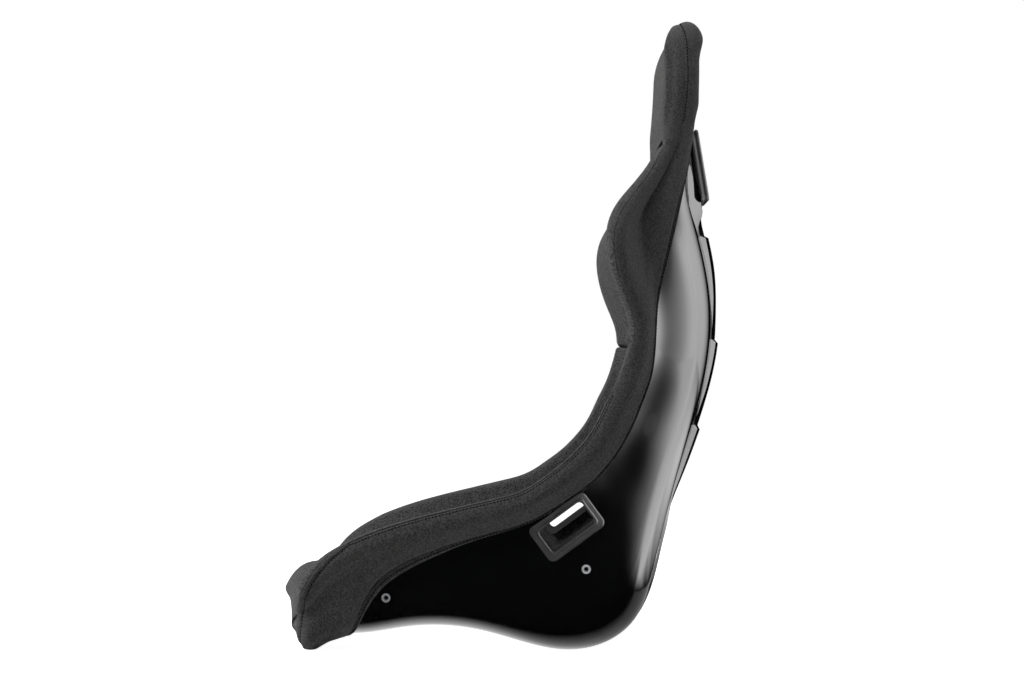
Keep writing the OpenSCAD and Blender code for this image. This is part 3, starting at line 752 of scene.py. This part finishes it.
def rounded_outline(size, r, grow=0.0, corner=9):
    """Points of a rectangle with round corners, grown outwards by grow."""
    half = np.array(size) / 2 - r
    angle = np.linspace(0, math.pi / 2, corner)
    points = []
    for k, way in enumerate(((1, 1), (-1, 1), (-1, -1), (1, -1))):
        turned = angle + k * math.pi / 2
        points.append(half * way + (r + grow) * np.stack([np.cos(turned), np.sin(turned)], -1))
    return np.concatenate(points)


def softened(profile, r, steps=3):
    """The closed profile with each of its corners rounded."""
    p = np.array(profile, float)
    soft = []
    for before, here, after in zip(np.roll(p, 1, 0), p, np.roll(p, -1, 0)):
        back, on = before - here, after - here
        a = here + back * min(r / np.hypot(*back), 0.45)
        b = here + on * min(r / np.hypot(*on), 0.45)
        for f in np.linspace(0, 1, steps + 1):
            soft.append((1 - f) ** 2 * a + 2 * f * (1 - f) * here + f * f * b)
    return np.array(soft)


def at_frame(points, place_at, mirror):
    m = np.array(place_at)
    moved = points @ m[:3, :3].T + m[:3, 3]
    return moved * (-1, 1, 1) if mirror else moved


def ring_mesh(size, profile, place_at, mirror=False):
    """A profile of (distance out from the opening's edge, height) swept round the opening."""
    section = softened(profile, 0.6)
    flat = np.stack([
        rounded_outline(np.add(size, 2 * d), OPENING_ROUND + CORNER_SHARE * d) for d in section[:, 0]], 1)
    n, m = flat.shape[:2]
    high = np.broadcast_to(section[None, :, 1:], (n, m, 1))
    points = at_frame(np.concatenate([flat, high], -1).reshape(-1, 3), place_at, mirror)
    i, j = np.meshgrid(np.arange(n), np.arange(m), indexing="ij")
    near, far = (i + 1) % n, (j + 1) % m
    faces = np.stack([i * m + j, near * m + j, near * m + far, i * m + far], -1).reshape(-1, 4)
    mesh = new_mesh(points, faces.tolist())
    tidy(mesh, 45)
    return mesh


def prism_mesh(size, grow, low, high, place_at, mirror=False, r=OPENING_ROUND):
    outline = rounded_outline(size, r, grow)
    n = len(outline)
    rings = [np.column_stack([outline, np.full(n, z)]) for z in (low, high)]
    k = np.arange(n)
    sides = np.stack([k, np.roll(k, -1), np.roll(k, -1) + n, k + n], -1).tolist()
    ends = [list(range(n))[::-1], list(range(n, 2 * n))]
    mesh = new_mesh(at_frame(np.concatenate(rings), place_at, mirror), sides + ends)
    tidy(mesh, 30)
    return mesh


def strap_room(size, place_at, mirror=False, grow=2.3):
    """Cutter for an opening with its liner."""
    return prism_mesh(size, grow, -REACH, REACH, place_at, mirror)


def mount_hole_mesh(side, mirror, r=5.2, start=150):
    """Round cutter at a side mount, from start outwards."""
    y = -10 + side * MOUNT_PITCH / 2 * math.cos(MOUNT_RISE)
    z = 101 + side * MOUNT_PITCH / 2 * math.sin(MOUNT_RISE)
    place_at = Matrix.Translation((0, y, z)) @ turn("Y", 90)
    return prism_mesh((2 * r, 2 * r), 0, start, 260, place_at, mirror, r)


def result_of(body, *tools):
    """The mesh that the body's modifiers make of it; the body and its tools are taken away."""
    bpy.context.view_layer.update()
    done = bpy.data.meshes.new_from_object(body.evaluated_get(bpy.context.evaluated_depsgraph_get()))
    for piece in (body, *tools):
        bpy.data.objects.remove(piece)
    return done


def cut(mesh, cutters):
    """The mesh with the cutters' room taken out of it."""
    body = new_object("cut_body", mesh)
    tools = [new_object("cut_tool", cutter) for cutter in cutters]
    for k, tool in enumerate(tools):
        step = body.modifiers.new("cut_%d" % k, "BOOLEAN")
        step.operation = "DIFFERENCE"
        step.solver = "EXACT"
        step.object = tool
    return result_of(body, *tools)


# ---- Stitches ----
STITCH = (4.2, 2.0)      # length and thickness
STITCH_STEP = 5.0
FOOT_ROW_FROM = 262      # the foot's row is cast inwards from this x
RAY_START = 60.0         # distance off the skin from which a row is cast
LONGEST_RAY = 0.09       # in metres


def stitch_tree():
    """Node tree that lays one rounded stitch at each point, along the point's own direction."""
    tree, given, made = group("stitch row", [
        ("Points", "Geometry", None), ("Length", "Float", None), ("Thickness", "Float", None),
        ("Thread", "Material", None)], [("Stitches", "Geometry")], "GeometryNodeTree")
    bead = add(tree, "GeometryNodeMeshUVSphere", {"Segments": 8, "Rings": 5, "Radius": 0.5})
    thick = given["Thickness"]
    size = add(tree, "ShaderNodeCombineXYZ", {0: given["Length"], 1: thick, 2: thick})
    way = add(tree, "GeometryNodeInputNamedAttribute", {"Name": "way"}, data_type="FLOAT_VECTOR")
    turned = add(tree, "FunctionNodeAlignRotationToVector", {"Vector": way.outputs["Attribute"]}, axis="X")
    laid = add(tree, "GeometryNodeInstanceOnPoints", {
        "Points": given["Points"], "Instance": bead.outputs["Mesh"],
        "Rotation": turned.outputs["Rotation"], "Scale": size.outputs[0]})
    real = add(tree, "GeometryNodeRealizeInstances", {0: laid.outputs[0]})
    dyed = add(tree, "GeometryNodeSetMaterial", {"Geometry": real.outputs[0], "Material": given["Thread"]})
    link(tree, dyed.outputs[0], made["Stitches"])
    return tree


def on_cloth(mesh, start, aim):
    """Where lines from start towards aim first meet the mesh, in millimetres; misses are left out."""
    cloth = BVHTree.FromPolygons([v.co for v in mesh.vertices], [tuple(p.vertices) for p in mesh.polygons])
    hits = []
    for a, b in zip(start.reshape(-1, 3) * MM, aim.reshape(-1, 3) * MM):
        found = cloth.ray_cast(Vector(a), Vector(b - a).normalized())
        if found[0] is not None and found[3] < LONGEST_RAY:
            hits.append(np.array(found[0]) / MM)
    return np.array(hits)


def even_steps(line):
    """Points STITCH_STEP apart along a row of points, and the direction of the row at each."""
    run = np.concatenate([[0], np.cumsum(np.linalg.norm(np.diff(line, axis=0), axis=1))])
    at = np.arange(STITCH_STEP, run[-1] - STITCH_STEP, STITCH_STEP)
    points, ahead = [
        np.stack([np.interp(k, run, line[:, axis]) for axis in range(3)], -1) for k in (at, at + 1.5)]
    return points, ahead - points


def row_at(mesh, s, t):
    """A row over the cloth at s and t."""
    return on_cloth(mesh, sheet(s, t, RAY_START), sheet(s, t, 0))


def foot_row(mesh):
    """The row right beside the seam down the foot."""
    path = np.array(FOOT_SEAM, float)
    f = np.linspace(0, len(path) - 1.3, 80)
    y, z = [np.interp(f, np.arange(len(path)), path[:, k]) for k in (0, 1)]
    y, z = y + 0.3, z + 0.12
    return on_cloth(mesh, np.stack([0 * f + FOOT_ROW_FROM, y, z], -1), np.stack([0 * f, y, z], -1))


def stitch_mesh(rows, mirror=False):
    """All stitches of some rows of points as one mesh."""
    both = [even_steps(line) for line in rows if len(line) > 3]
    points, ways = [np.concatenate(k) * ((-1, 1, 1) if mirror else 1) for k in zip(*both)]
    mesh = new_mesh(points)
    mesh.attributes.new("way", "FLOAT_VECTOR", "POINT").data.foreach_set("vector", ways.ravel())
    body = new_object("stitch_body", mesh)
    step = body.modifiers.new("stitches", "NODES")
    step.node_group = STITCHES
    values = {"Length": STITCH[0] * MM, "Thickness": STITCH[1] * MM, "Thread": THREAD[0]}
    for item in STITCHES.interface.items_tree:
        if item.name in values:
            step[item.identifier] = values[item.name]
    done = result_of(body)
    done.polygons.foreach_set("use_smooth", [True] * len(done.polygons))
    return done


# ---- Finishes ----
def new_material(name):
    m = bpy.data.materials.new(name)
    m.use_nodes = True
    m.node_tree.nodes.clear()
    return m, m.node_tree


def link(tree, a, b):
    tree.links.new(a, b)


def add(tree, kind, feeds=None, **settings):
    """A node with its settings; feeds gives its inputs, each a value or another node's output."""
    made = tree.nodes.new(kind)
    for key, value in settings.items():
        setattr(made, key, value)
    for key, value in (feeds or {}).items():
        if isinstance(value, bpy.types.NodeSocket):
            tree.links.new(value, made.inputs[key])
        else:
            made.inputs[key].default_value = value
    return made


def sums(tree, operation, *operands):
    """A Math node; each operand is a number or an output socket."""
    return add(tree, "ShaderNodeMath", dict(enumerate(operands)), operation=operation).outputs[0]


def ramp(tree, value, *stops):
    """A ramp of greys; each stop is (place, grey)."""
    made = add(tree, "ShaderNodeValToRGB", {0: value})
    band = made.color_ramp
    while len(band.elements) < len(stops):
        band.elements.new(0.5)
    for element, (at, tone) in zip(band.elements, stops):
        element.position = at
        element.color = (tone, tone, tone, 1)
    return made.outputs[0]


def group(name, inputs, outputs, kind="ShaderNodeTree"):
    """A node group, with the outputs of its input node and the inputs of its output node."""
    tree = bpy.data.node_groups.new(name, kind)
    for label, sort, value in inputs:
        made = tree.interface.new_socket(name=label, in_out="INPUT", socket_type="NodeSocket" + sort)
        if value is not None:
            made.default_value = value
    for label, sort in outputs:
        tree.interface.new_socket(name=label, in_out="OUTPUT", socket_type="NodeSocket" + sort)
    return tree, tree.nodes.new("NodeGroupInput").outputs, tree.nodes.new("NodeGroupOutput").inputs


def noise(tree, place_at, scale, detail, rough=0.5):
    return add(tree, "ShaderNodeTexNoise", {
        "Vector": place_at, "Scale": scale, "Detail": detail, "Roughness": rough})


def weave_group():
    """Plain weave: threads over and under each other, and light fibres scattered over them."""
    tree, given, made = group("plain weave", [
        ("Place", "Vector", None), ("Solid", "Vector", None), ("Threads", "Float", 900.0),
        ("Fibres", "Float", 620.0), ("Loose", "Float", 0.35), ("Nap", "Float", 390.0)], [
        ("Height", "Float"), ("Speckle", "Float"), ("Patch", "Float"), ("Mottle", "Float")])
    wobble = noise(tree, given["Place"], 60.0, 2.0).outputs["Color"]
    shift = add(tree, "ShaderNodeVectorMath", {0: wobble, "Scale": 0.0009}, operation="SCALE")
    moved = add(tree, "ShaderNodeVectorMath", {0: given["Place"], 1: shift.outputs[0]}, operation="ADD")
    parts = add(tree, "ShaderNodeSeparateXYZ", {0: moved.outputs[0]}).outputs
    u, v = [sums(tree, "MULTIPLY", parts[k], given["Threads"]) for k in (0, 1)]
    over, under = [
        sums(tree, "ABSOLUTE", sums(tree, "SINE", sums(tree, "MULTIPLY", k, math.pi))) for k in (u, v)]
    crossing = sums(tree, "ADD", sums(tree, "FLOOR", u), sums(tree, "FLOOR", v))
    turn_by = sums(tree, "PINGPONG", crossing, 1.0)
    warp = sums(tree, "MULTIPLY", over, turn_by)
    weft = sums(tree, "MULTIPLY", under, sums(tree, "SUBTRACT", 1.0, turn_by))
    fibre = noise(tree, given["Solid"], given["Fibres"], 3.0, 0.7).outputs[0]
    loose = sums(tree, "MULTIPLY", fibre, given["Loose"])
    link(tree, sums(tree, "ADD", sums(tree, "ADD", warp, weft), loose), made["Height"])
    link(tree, ramp(tree, fibre, (0.4, 0.0), (0.72, 1.0)), made["Speckle"])
    nap = noise(tree, given["Solid"], given["Nap"], 2.5, 0.65).outputs[0]
    link(tree, ramp(tree, nap, (0.44, 0.0), (0.57, 1.0)), made["Mottle"])
    link(tree, noise(tree, given["Place"], 9.0, 3.0).outputs[0], made["Patch"])
    return tree


def grain_group():
    """Fine grain of moulded or sprayed surfaces, with broad uneven patches."""
    tree, given, made = group("fine grain", [
        ("Place", "Vector", None), ("Grain", "Float", 1500.0), ("Patches", "Float", 14.0)], [
        ("Grain", "Float"), ("Patch", "Float")])
    for label, source in (("Grain", "Grain"), ("Patch", "Patches")):
        link(tree, noise(tree, given["Place"], given[source], 3.0).outputs[0], made[label])
    return tree


WEAVE = weave_group()
GRAIN = grain_group()


def use_group(tree, shared, **feeds):
    return add(tree, "ShaderNodeGroup", feeds, node_tree=shared).outputs


def shader(tree, **values):
    feeds = {label.replace("_", " "): value for label, value in values.items()}
    made = add(tree, "ShaderNodeBsdfPrincipled", feeds)
    add(tree, "ShaderNodeOutputMaterial", {0: made.outputs[0]})


def bump(tree, height, distance, strength):
    return add(tree, "ShaderNodeBump", {
        "Strength": strength, "Distance": distance, "Height": height}).outputs[0]


def mix_tones(tree, amount, dark, light):
    """Between two tones, each a colour or a grey."""
    dark, light = [(tone,) * 3 if isinstance(tone, float) else tone for tone in (dark, light)]
    return add(tree, "ShaderNodeMix", {0: amount, 6: (*dark, 1), 7: (*light, 1)}, data_type="RGBA").outputs[2]


def own_place(tree):
    return add(tree, "ShaderNodeTexCoord").outputs["Object"]


def cloth_finish(name, dark, light, threads, by_run):
    """Charcoal cloth: dark threads with lighter fibres, and a soft sheen towards the edges."""
    m, tree = new_material(name)
    solid = own_place(tree)
    place_at = add(tree, "ShaderNodeUVMap", uv_map="cloth").outputs[0] if by_run else solid
    weave = use_group(
        tree, WEAVE, Place=place_at, Solid=solid, Threads=threads, Fibres=threads * 0.62, Loose=0.5)
    fleck = sums(tree, "MULTIPLY_ADD", weave["Mottle"], 0.62, sums(tree, "MULTIPLY", weave["Speckle"], 0.4))
    tone = sums(tree, "MULTIPLY_ADD", weave["Patch"], 0.12, fleck)
    height = sums(tree, "MULTIPLY_ADD", weave["Mottle"], 0.8, weave["Height"])
    shader(tree, Base_Color=mix_tones(tree, tone, dark, light), Roughness=0.92, IOR=1.35,
           Specular_IOR_Level=0.25, Sheen_Weight=0.3, Sheen_Roughness=0.55,
           Sheen_Tint=(0.8, 0.79, 0.78, 1), Normal=bump(tree, height, 0.0005, 0.9))
    return m


def grain_finish(name, dark, light, grain, patches, rough=None, bumped=None, **values):
    """Finish of uneven tone; rough is (grain output, share, least), bumped (output, depth, strength)."""
    m, tree = new_material(name)
    fine = use_group(tree, GRAIN, Place=own_place(tree), Grain=grain, Patches=patches)
    if rough:
        values["Roughness"] = sums(tree, "MULTIPLY_ADD", fine[rough[0]], *rough[1:])
    if bumped:
        values["Normal"] = bump(tree, fine[bumped[0]], *bumped[1:])
    shader(tree, Base_Color=mix_tones(tree, fine["Patch"], dark, light), **values)
    return m


# Each finish is (material, slot). The shell's is a clear gloss over a slightly uneven ground
GELCOAT = grain_finish(
    "gloss black gel coat", (0.003, 0.003, 0.0035), (0.006, 0.006, 0.007), 900.0, 7.0,
    ("Patch", 0.06, 0.1), ("Patch", 0.0004, 0.25), IOR=1.5, Coat_Weight=1.0, Coat_Roughness=0.025,
    Coat_IOR=1.5), "gelcoat_shell"
SIDE_CLOTH = cloth_finish(
    "charcoal side cloth", 0.001, (0.076, 0.075, 0.075), 1000.0, True), "side_cloth"
CUSHION_CLOTH = cloth_finish(
    "speckled cushion cloth", 0.002, (0.094, 0.093, 0.093), 800.0, False), "cushion_cloth"
TRIM = grain_finish(
    "satin black trim", (0.055, 0.055, 0.057), (0.085, 0.085, 0.088), 2200.0, 40.0, ("Patch", 0.2, 0.24),
    ("Grain", 0.00008, 0.5), IOR=1.5, Coat_Weight=0.3, Coat_Roughness=0.2), "opening_trim"
THREAD = grain_finish(
    "sewing thread", (0.0008, 0.0008, 0.0009), 0.003, 4000.0, 700.0, None, ("Grain", 0.0001, 0.5),
    Roughness=0.85, Specular_IOR_Level=0.1), "side_cloth"
STEEL = grain_finish(
    "bright zinc plating", (0.56, 0.57, 0.59), (0.78, 0.78, 0.8), 3000.0, 160.0, ("Grain", 0.2, 0.4),
    ("Grain", 0.00005, 0.4), Metallic=1.0, IOR=2.0)
STITCHES = stitch_tree()


# ---- Pieces ----
HANDS = ((False, "left"), (True, "right"))
LAP_TRIM = ((0, -8), (2, -8), (2, 0), (11.5, 0), (11.5, 1.8), (10, 3), (4, 3), (3, 4), (0.8, 4), (0, 3.2))
SHOULDER_TRIM = ((12, 0), (12, 3.5), (10.5, 4.2), (10.5, 7), (12, 7.8), (12, 10.5), (10.8, 12), (1.2, 12),
                 (0, 10.8), (0, -8), (2, -8), (2, 0))
CROTCH_TRIM = ((9, 0), (9, 1.6), (7.6, 3), (0.8, 3), (0, 2.2), (0, -6), (2, -6), (2, 0))
LIFT = Matrix.Translation((0, 0, 0.6))
TRIM_SEAT = (99, 62)     # the cloth is left out under the lap trim
DISC_ROOM = (21, 191)    # radius and start of the room for an insert's disc

openings = [strap_room(size, place_at, mirror)
            for size, place_at in ((LAP, LAP_FRAME), (SHOULDER, SHOULDER_FRAME)) for mirror, _ in HANDS]
openings.append(strap_room(CROTCH, CROTCH_FRAME))
openings += [mount_hole_mesh(side, mirror) for side in (-1, 1) for mirror, _ in HANDS]
shell = cut(shell_mesh(), openings)
shell.set_sharp_from_angle(angle=math.radians(SHELL_SHARP))
place(shell, "gelcoat_shell", GELCOAT,
      "shell_floor", "shell_back", "shell_head", "shell_side_left", "shell_side_right")

plain_cover = cover_side_mesh()
rim_s = spread(1.9, 12.7, 0.05)
hem_s = spread(0.4, 20.8, 0.05)
side_rows = [
    row_at(plain_cover, rim_s, 2 + rim_over(rim_s) - 0.9 / PAST_RIM), foot_row(plain_cover),
    row_at(hem_mesh(), hem_s, edge_t(hem_s) + 0.45 * hem_width(hem_s) / side_run(hem_s))]

for mirror, hand in HANDS:
    trim_seat = prism_mesh(TRIM_SEAT, 0, -5, 35, LAP_FRAME, mirror, r=10)
    cover = cut(cover_side_mesh(mirror), [trim_seat])
    piece = place(cover, "rim_cover_" + hand, SIDE_CLOTH, "cover_" + hand)
    place(stitch_mesh(side_rows, mirror), "rim_stitches_" + hand, THREAD)
    hem = cut(hem_mesh(mirror), [trim_seat])
    place(hem, "sewn_hem_" + hand, SIDE_CLOTH, "hem_" + hand)
    bolster = cut(bolster_mesh(mirror), [strap_room(LAP, LAP_FRAME, mirror, 2.5)] + [
        mount_hole_mesh(side, mirror, *DISC_ROOM) for side in (-1, 1)])
    piece = place(bolster, "side_bolster_" + hand, CUSHION_CLOTH, "bolster_" + hand)
    piece = place(wing_mesh(mirror), "wing_bolster_" + hand, CUSHION_CLOTH, "wing_pad_" + hand)
    lap = ring_mesh(LAP, LAP_TRIM, LAP_FRAME, mirror)
    place(lap, "lap_belt_trim_" + hand, TRIM, "lap_trim_" + hand)
    shoulder = ring_mesh(SHOULDER, SHOULDER_TRIM, SHOULDER_FRAME @ LIFT, mirror)
    place(shoulder, "shoulder_belt_frame_" + hand, TRIM, "shoulder_trim_" + hand)

crotch = ring_mesh(CROTCH, CROTCH_TRIM, CROTCH_FRAME @ LIFT)
place(crotch, "crotch_strap_trim", TRIM, "crotch_trim")

piece = place(cover_front_mesh(), "front_cover", SIDE_CLOTH, "cover_front")
piece = place(cover_head_mesh(), "head_cover", SIDE_CLOTH, "cover_head")
head_s = spread(21.4, 24.2, 0.05)
rows = [row_at(piece.data, head_s, side * HEAD_SEAM + 0 * head_s) for side in (1, -1)]
place(stitch_mesh(rows), "head_stitches", THREAD)
piece = place(head_pad_mesh(), "headrest_pad", SIDE_CLOTH, "head_pad")

for name, node, first, last, thick, nose in (
        ("thigh_cushion", "leg_cushion", 0, 2.2, SEAT_FOAM, True),
        ("base_cushion", "seat_cushion", 2.3, 8.2, SEAT_FOAM, False),
        ("lumbar_pad", "lumbar_cushion", 8.4, 12.3, BACK_FOAM, False),
        ("back_pad", "back_cushion", 12.4, 18.5, BACK_FOAM, False)):
    mesh = cushion_mesh(first, last, thick, nose)
    if node == "seat_cushion":
        mesh = cut(mesh, [strap_room(CROTCH, CROTCH_FRAME, grow=2.5)])
    piece = place(mesh, name, CUSHION_CLOTH, node)

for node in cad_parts:
    piece = bpy.data.objects.get(node)
    if piece and (node.startswith("insert") or "liner" in node):
        finish = STEEL if node.startswith("insert") else TRIM[0]
        for k in range(len(piece.material_slots)):
            piece.material_slots[k].material = finish


# ---- Stage, light and camera ----
FLOOR_GLOW = 0.96
WORLD_FILL = 0.045
FOCAL = 1808.0           # focal length, for a frame of FRAME_WIDTH
FRAME_WIDTH = 1024


def stage_piece(name, points, faces, material):
    """Stage piece from points in metres."""
    mesh = new_mesh(points, faces, unit=1)
    mesh.materials.append(material)
    piece = new_object(name, mesh)
    return piece


def plane(name, centre, across, up, material):
    """A flat quad around centre, with half its sides given as two vectors."""
    centre, across, up = Vector(centre), Vector(across), Vector(up)
    corners = [centre - across - up, centre + across - up, centre + across + up, centre - across + up]
    return stage_piece(name, corners, [(0, 1, 2, 3)], material)


def only_reflected(piece):
    for ray in ("camera", "diffuse", "shadow", "transmission"):
        setattr(piece, "visible_" + ray, False)


def floor_finish():
    """Pale floor that shows white where nothing shades it."""
    m, tree = new_material("pale studio floor")
    grain = use_group(tree, GRAIN, Place=own_place(tree), Grain=300.0, Patches=2.0)
    seen = add(tree, "ShaderNodeLightPath").outputs
    glow = sums(tree, "MAXIMUM", seen["Is Camera Ray"], seen["Is Glossy Ray"])
    shader(tree, Base_Color=mix_tones(tree, grain["Patch"], 0.84, 0.88), Roughness=0.9,
           Specular_IOR_Level=0.0, Emission_Color=(1, 1, 1, 1),
           Emission_Strength=sums(tree, "MULTIPLY", glow, FLOOR_GLOW))
    return m


def glow_finish(name, level, along_stops, up_stops):
    """Soft panel whose glow follows two rows of (place, share) over its UV."""
    m, tree = new_material(name)
    place_at = add(tree, "ShaderNodeTexCoord").outputs["UV"]
    parts = add(tree, "ShaderNodeSeparateXYZ", {0: place_at}).outputs
    shares = [ramp(tree, parts[k], *stops) for k, stops in enumerate((along_stops, up_stops))]
    strength = sums(tree, "MULTIPLY", sums(tree, "MULTIPLY", *shares), level)
    glow = add(tree, "ShaderNodeEmission", {"Strength": strength})
    add(tree, "ShaderNodeOutputMaterial", {0: glow.outputs[0]})
    return m


def glow_card(name, points, u, v, level, along_stops, up_stops):
    """Glowing card over a grid of points, with a UV at each; only reflections see it."""
    piece = stage_piece(
        name, points.reshape(-1, 3), grid_faces(*points.shape[:2]).tolist(),
        glow_finish(name, level, along_stops, up_stops))
    set_uv(piece.data, "card", np.stack([u, v], -1).reshape(-1, 2))
    only_reflected(piece)


def stops_over(start, run, *rows):
    """Stops given in a card's own measure, which begins at start and goes on for run."""
    return [((at - start) / run, share) for at, share in rows]


def side_glow(away=3.0, top=3.2):
    """Tall curved panel beside and behind the seat, brightest at three quarters from behind."""
    u, v = np.meshgrid(np.linspace(0, 1, 41), np.linspace(0, 1, 9), indexing="ij")
    turned = np.radians(160 * u + 24 * v * (1 - u))
    points = np.stack([away * np.cos(turned), away * np.sin(turned), top * v], -1)
    glow_card("side_glow", points, u, v, 4.7, stops_over(
        0, 160, (2, 0.0), (8, 0.12), (12, 0.3), (20, 0.56), (30, 0.84), (45, 1.0), (70, 0.92), (95, 0.62),
        (118, 0.34), (134, 0.14), (146, 0.0)), (
        (0.0, 1.0), (0.58, 1.0), (0.68, 0.85), (0.78, 0.55), (0.9, 0.2), (1.0, 0.05)))


def low_glow():
    """Glowing sweep on the floor behind the seat, which only reflections see: a painted reflection; its near
    edge is softer the further off it lies.
    """
    x = np.linspace(-2, 3.4, 28)[:, None] + 0 * np.arange(3)[None, :]
    near = np.interp(x[:, 0], (-2, 0, 0.2, 1, 2.4), (0.5, 0.42, 0.36, 0.33, 0.28))
    far = np.interp(x[:, 0], (-2, -0.2, 0.2, 0.4, 1, 2.4, 3.4), (1.3, 1.1, 0.49, 0.7, 1.17, 1.15, 1.1))
    y = np.stack([near, far, 3.2 + 0 * far], -1)
    v = np.broadcast_to([0.0, 0.5, 1.0], x.shape)
    glow_card("low_glow", np.stack([x, y, 0 * x + 0.002], -1), (x + 2) / 5.4, v, 4.0, stops_over(
        -2, 5.4, (-2, 0.0), (-1.4, 0.2), (-0.7, 0.4), (-0.3, 0.55), (0, 0.75), (0.3, 1.0), (2.6, 1.0),
        (3.4, 0.5)), ((0.0, 0.0), (0.05, 0.03), (0.15, 0.2), (0.25, 0.42), (0.4, 0.85), (0.5, 1.0)))


def under_glow():
    """Glowing card on the floor right below the seat, which only reflections see: a painted reflection of the
    floor, pale under the front half and darker towards the back, where it paints the shade under the seat.
    """
    x, y = np.meshgrid(np.linspace(-0.9, 0.2, 12), np.linspace(-0.8, 0.44, 12), indexing="ij")
    points = np.stack([x, y, 0 * x + 0.0015], -1)
    glow_card(
        "under_glow", points, (x + 0.9) / 1.1, (y + 0.8) / 1.24, 1.15,
        ((0.0, 0.6), (0.5, 1.0), (0.97, 1.0), (0.995, 0.1), (1.0, 0.0)), stops_over(
            # painted shade: the glow falls off towards the back of the seat
            -0.8, 1.24, (-0.8, 0.9), (-0.2, 1.0), (0.04, 1.0), (0.11, 0.8), (0.17, 0.38), (0.24, 0.22),
            (0.44, 0.2)))


plane("studio_floor", (0, 0, -0.0005), (40, 0, 0), (0, 40, 0), floor_finish())
FLAG, flag_tree = new_material("black flag")
shader(flag_tree, Roughness=1.0, Base_Color=(0, 0, 0, 1), Specular_IOR_Level=0.0)
for name, centre, across, up in (
        ("camera_side_flag", (5.6, 0, 1.2), (0, 7, 0), (0, 0, 4)),
        ("rear_flag", (0, 5.6, 1.2), (7, 0, 0), (0, 0, 4)),
        ("low_flag", (2.9, -2.0, 0.001), (0, 3, 0), (2.7, 0, 0)),
        ("far_flag", (-5.6, 0, 1.2), (0, 7, 0), (0, 0, 4)),
        ("high_flag", (2.0, 1.5, 5.1), (0, 7, 0), (4, 0, 0)),
        ("back_low_flag", (-4.5, 2.0, 0.001), (0, 4, 0), (2.5, 0, 0))):
    only_reflected(plane(name, centre, across, up, FLAG))
side_glow()
low_glow()
under_glow()


def world_finish():
    world = bpy.data.worlds.new("white studio")
    world.use_nodes = True
    tree = world.node_tree
    tree.nodes.clear()
    seen = add(tree, "ShaderNodeLightPath").outputs
    shown = sums(tree, "MAXIMUM", seen["Is Camera Ray"], sums(
        tree, "MAXIMUM", seen["Is Glossy Ray"], seen["Is Transmission Ray"]))
    strength = sums(tree, "MULTIPLY_ADD", shown, 1 - WORLD_FILL, WORLD_FILL)
    back = add(tree, "ShaderNodeBackground", {"Color": (1, 1, 1, 1), "Strength": strength})
    add(tree, "ShaderNodeOutputWorld", {0: back.outputs[0]})
    return world


def soft_light(name, at, to, side, power):
    data = bpy.data.lights.new(name, "AREA")
    data.shape = "RECTANGLE"
    data.size, data.size_y = side, side
    data.energy = power
    lamp = new_object(name, data)
    lamp.location = at
    lamp.rotation_euler = (Vector(to) - Vector(at)).to_track_quat("-Z", "Y").to_euler()


bpy.context.scene.world = world_finish()
soft_light("front_side", (0.8, -2.1, 2.4), (0, 0, 0.45), 1.5, 84)
soft_light("overhead", (0.2, 0.1, 3.2), (0, 0, 0.4), 1.6, 36)


def aim_camera():
    roll = math.radians(1.24)
    right = Vector((0, math.cos(roll), math.sin(roll)))
    up = Vector((0, -math.sin(roll), math.cos(roll)))
    ahead = (Vector((-FOCAL, 0, 0)) - 38 * right + 32 * up).normalized()
    up = (up - up.dot(ahead) * ahead).normalized()
    data = bpy.data.cameras.new("camera")
    data.sensor_width = 36
    data.lens = FOCAL * data.sensor_width / FRAME_WIDTH
    data.clip_start, data.clip_end = 0.05, 200
    camera = new_object("camera", data)
    turned = Matrix((ahead.cross(up), up, -ahead)).transposed().to_4x4()
    camera.matrix_world = Matrix.Translation((2.8, 0.0752, 0.4058)) @ turned
    bpy.context.scene.camera = camera


aim_camera()
bpy.context.scene.view_settings.view_transform = "Standard"
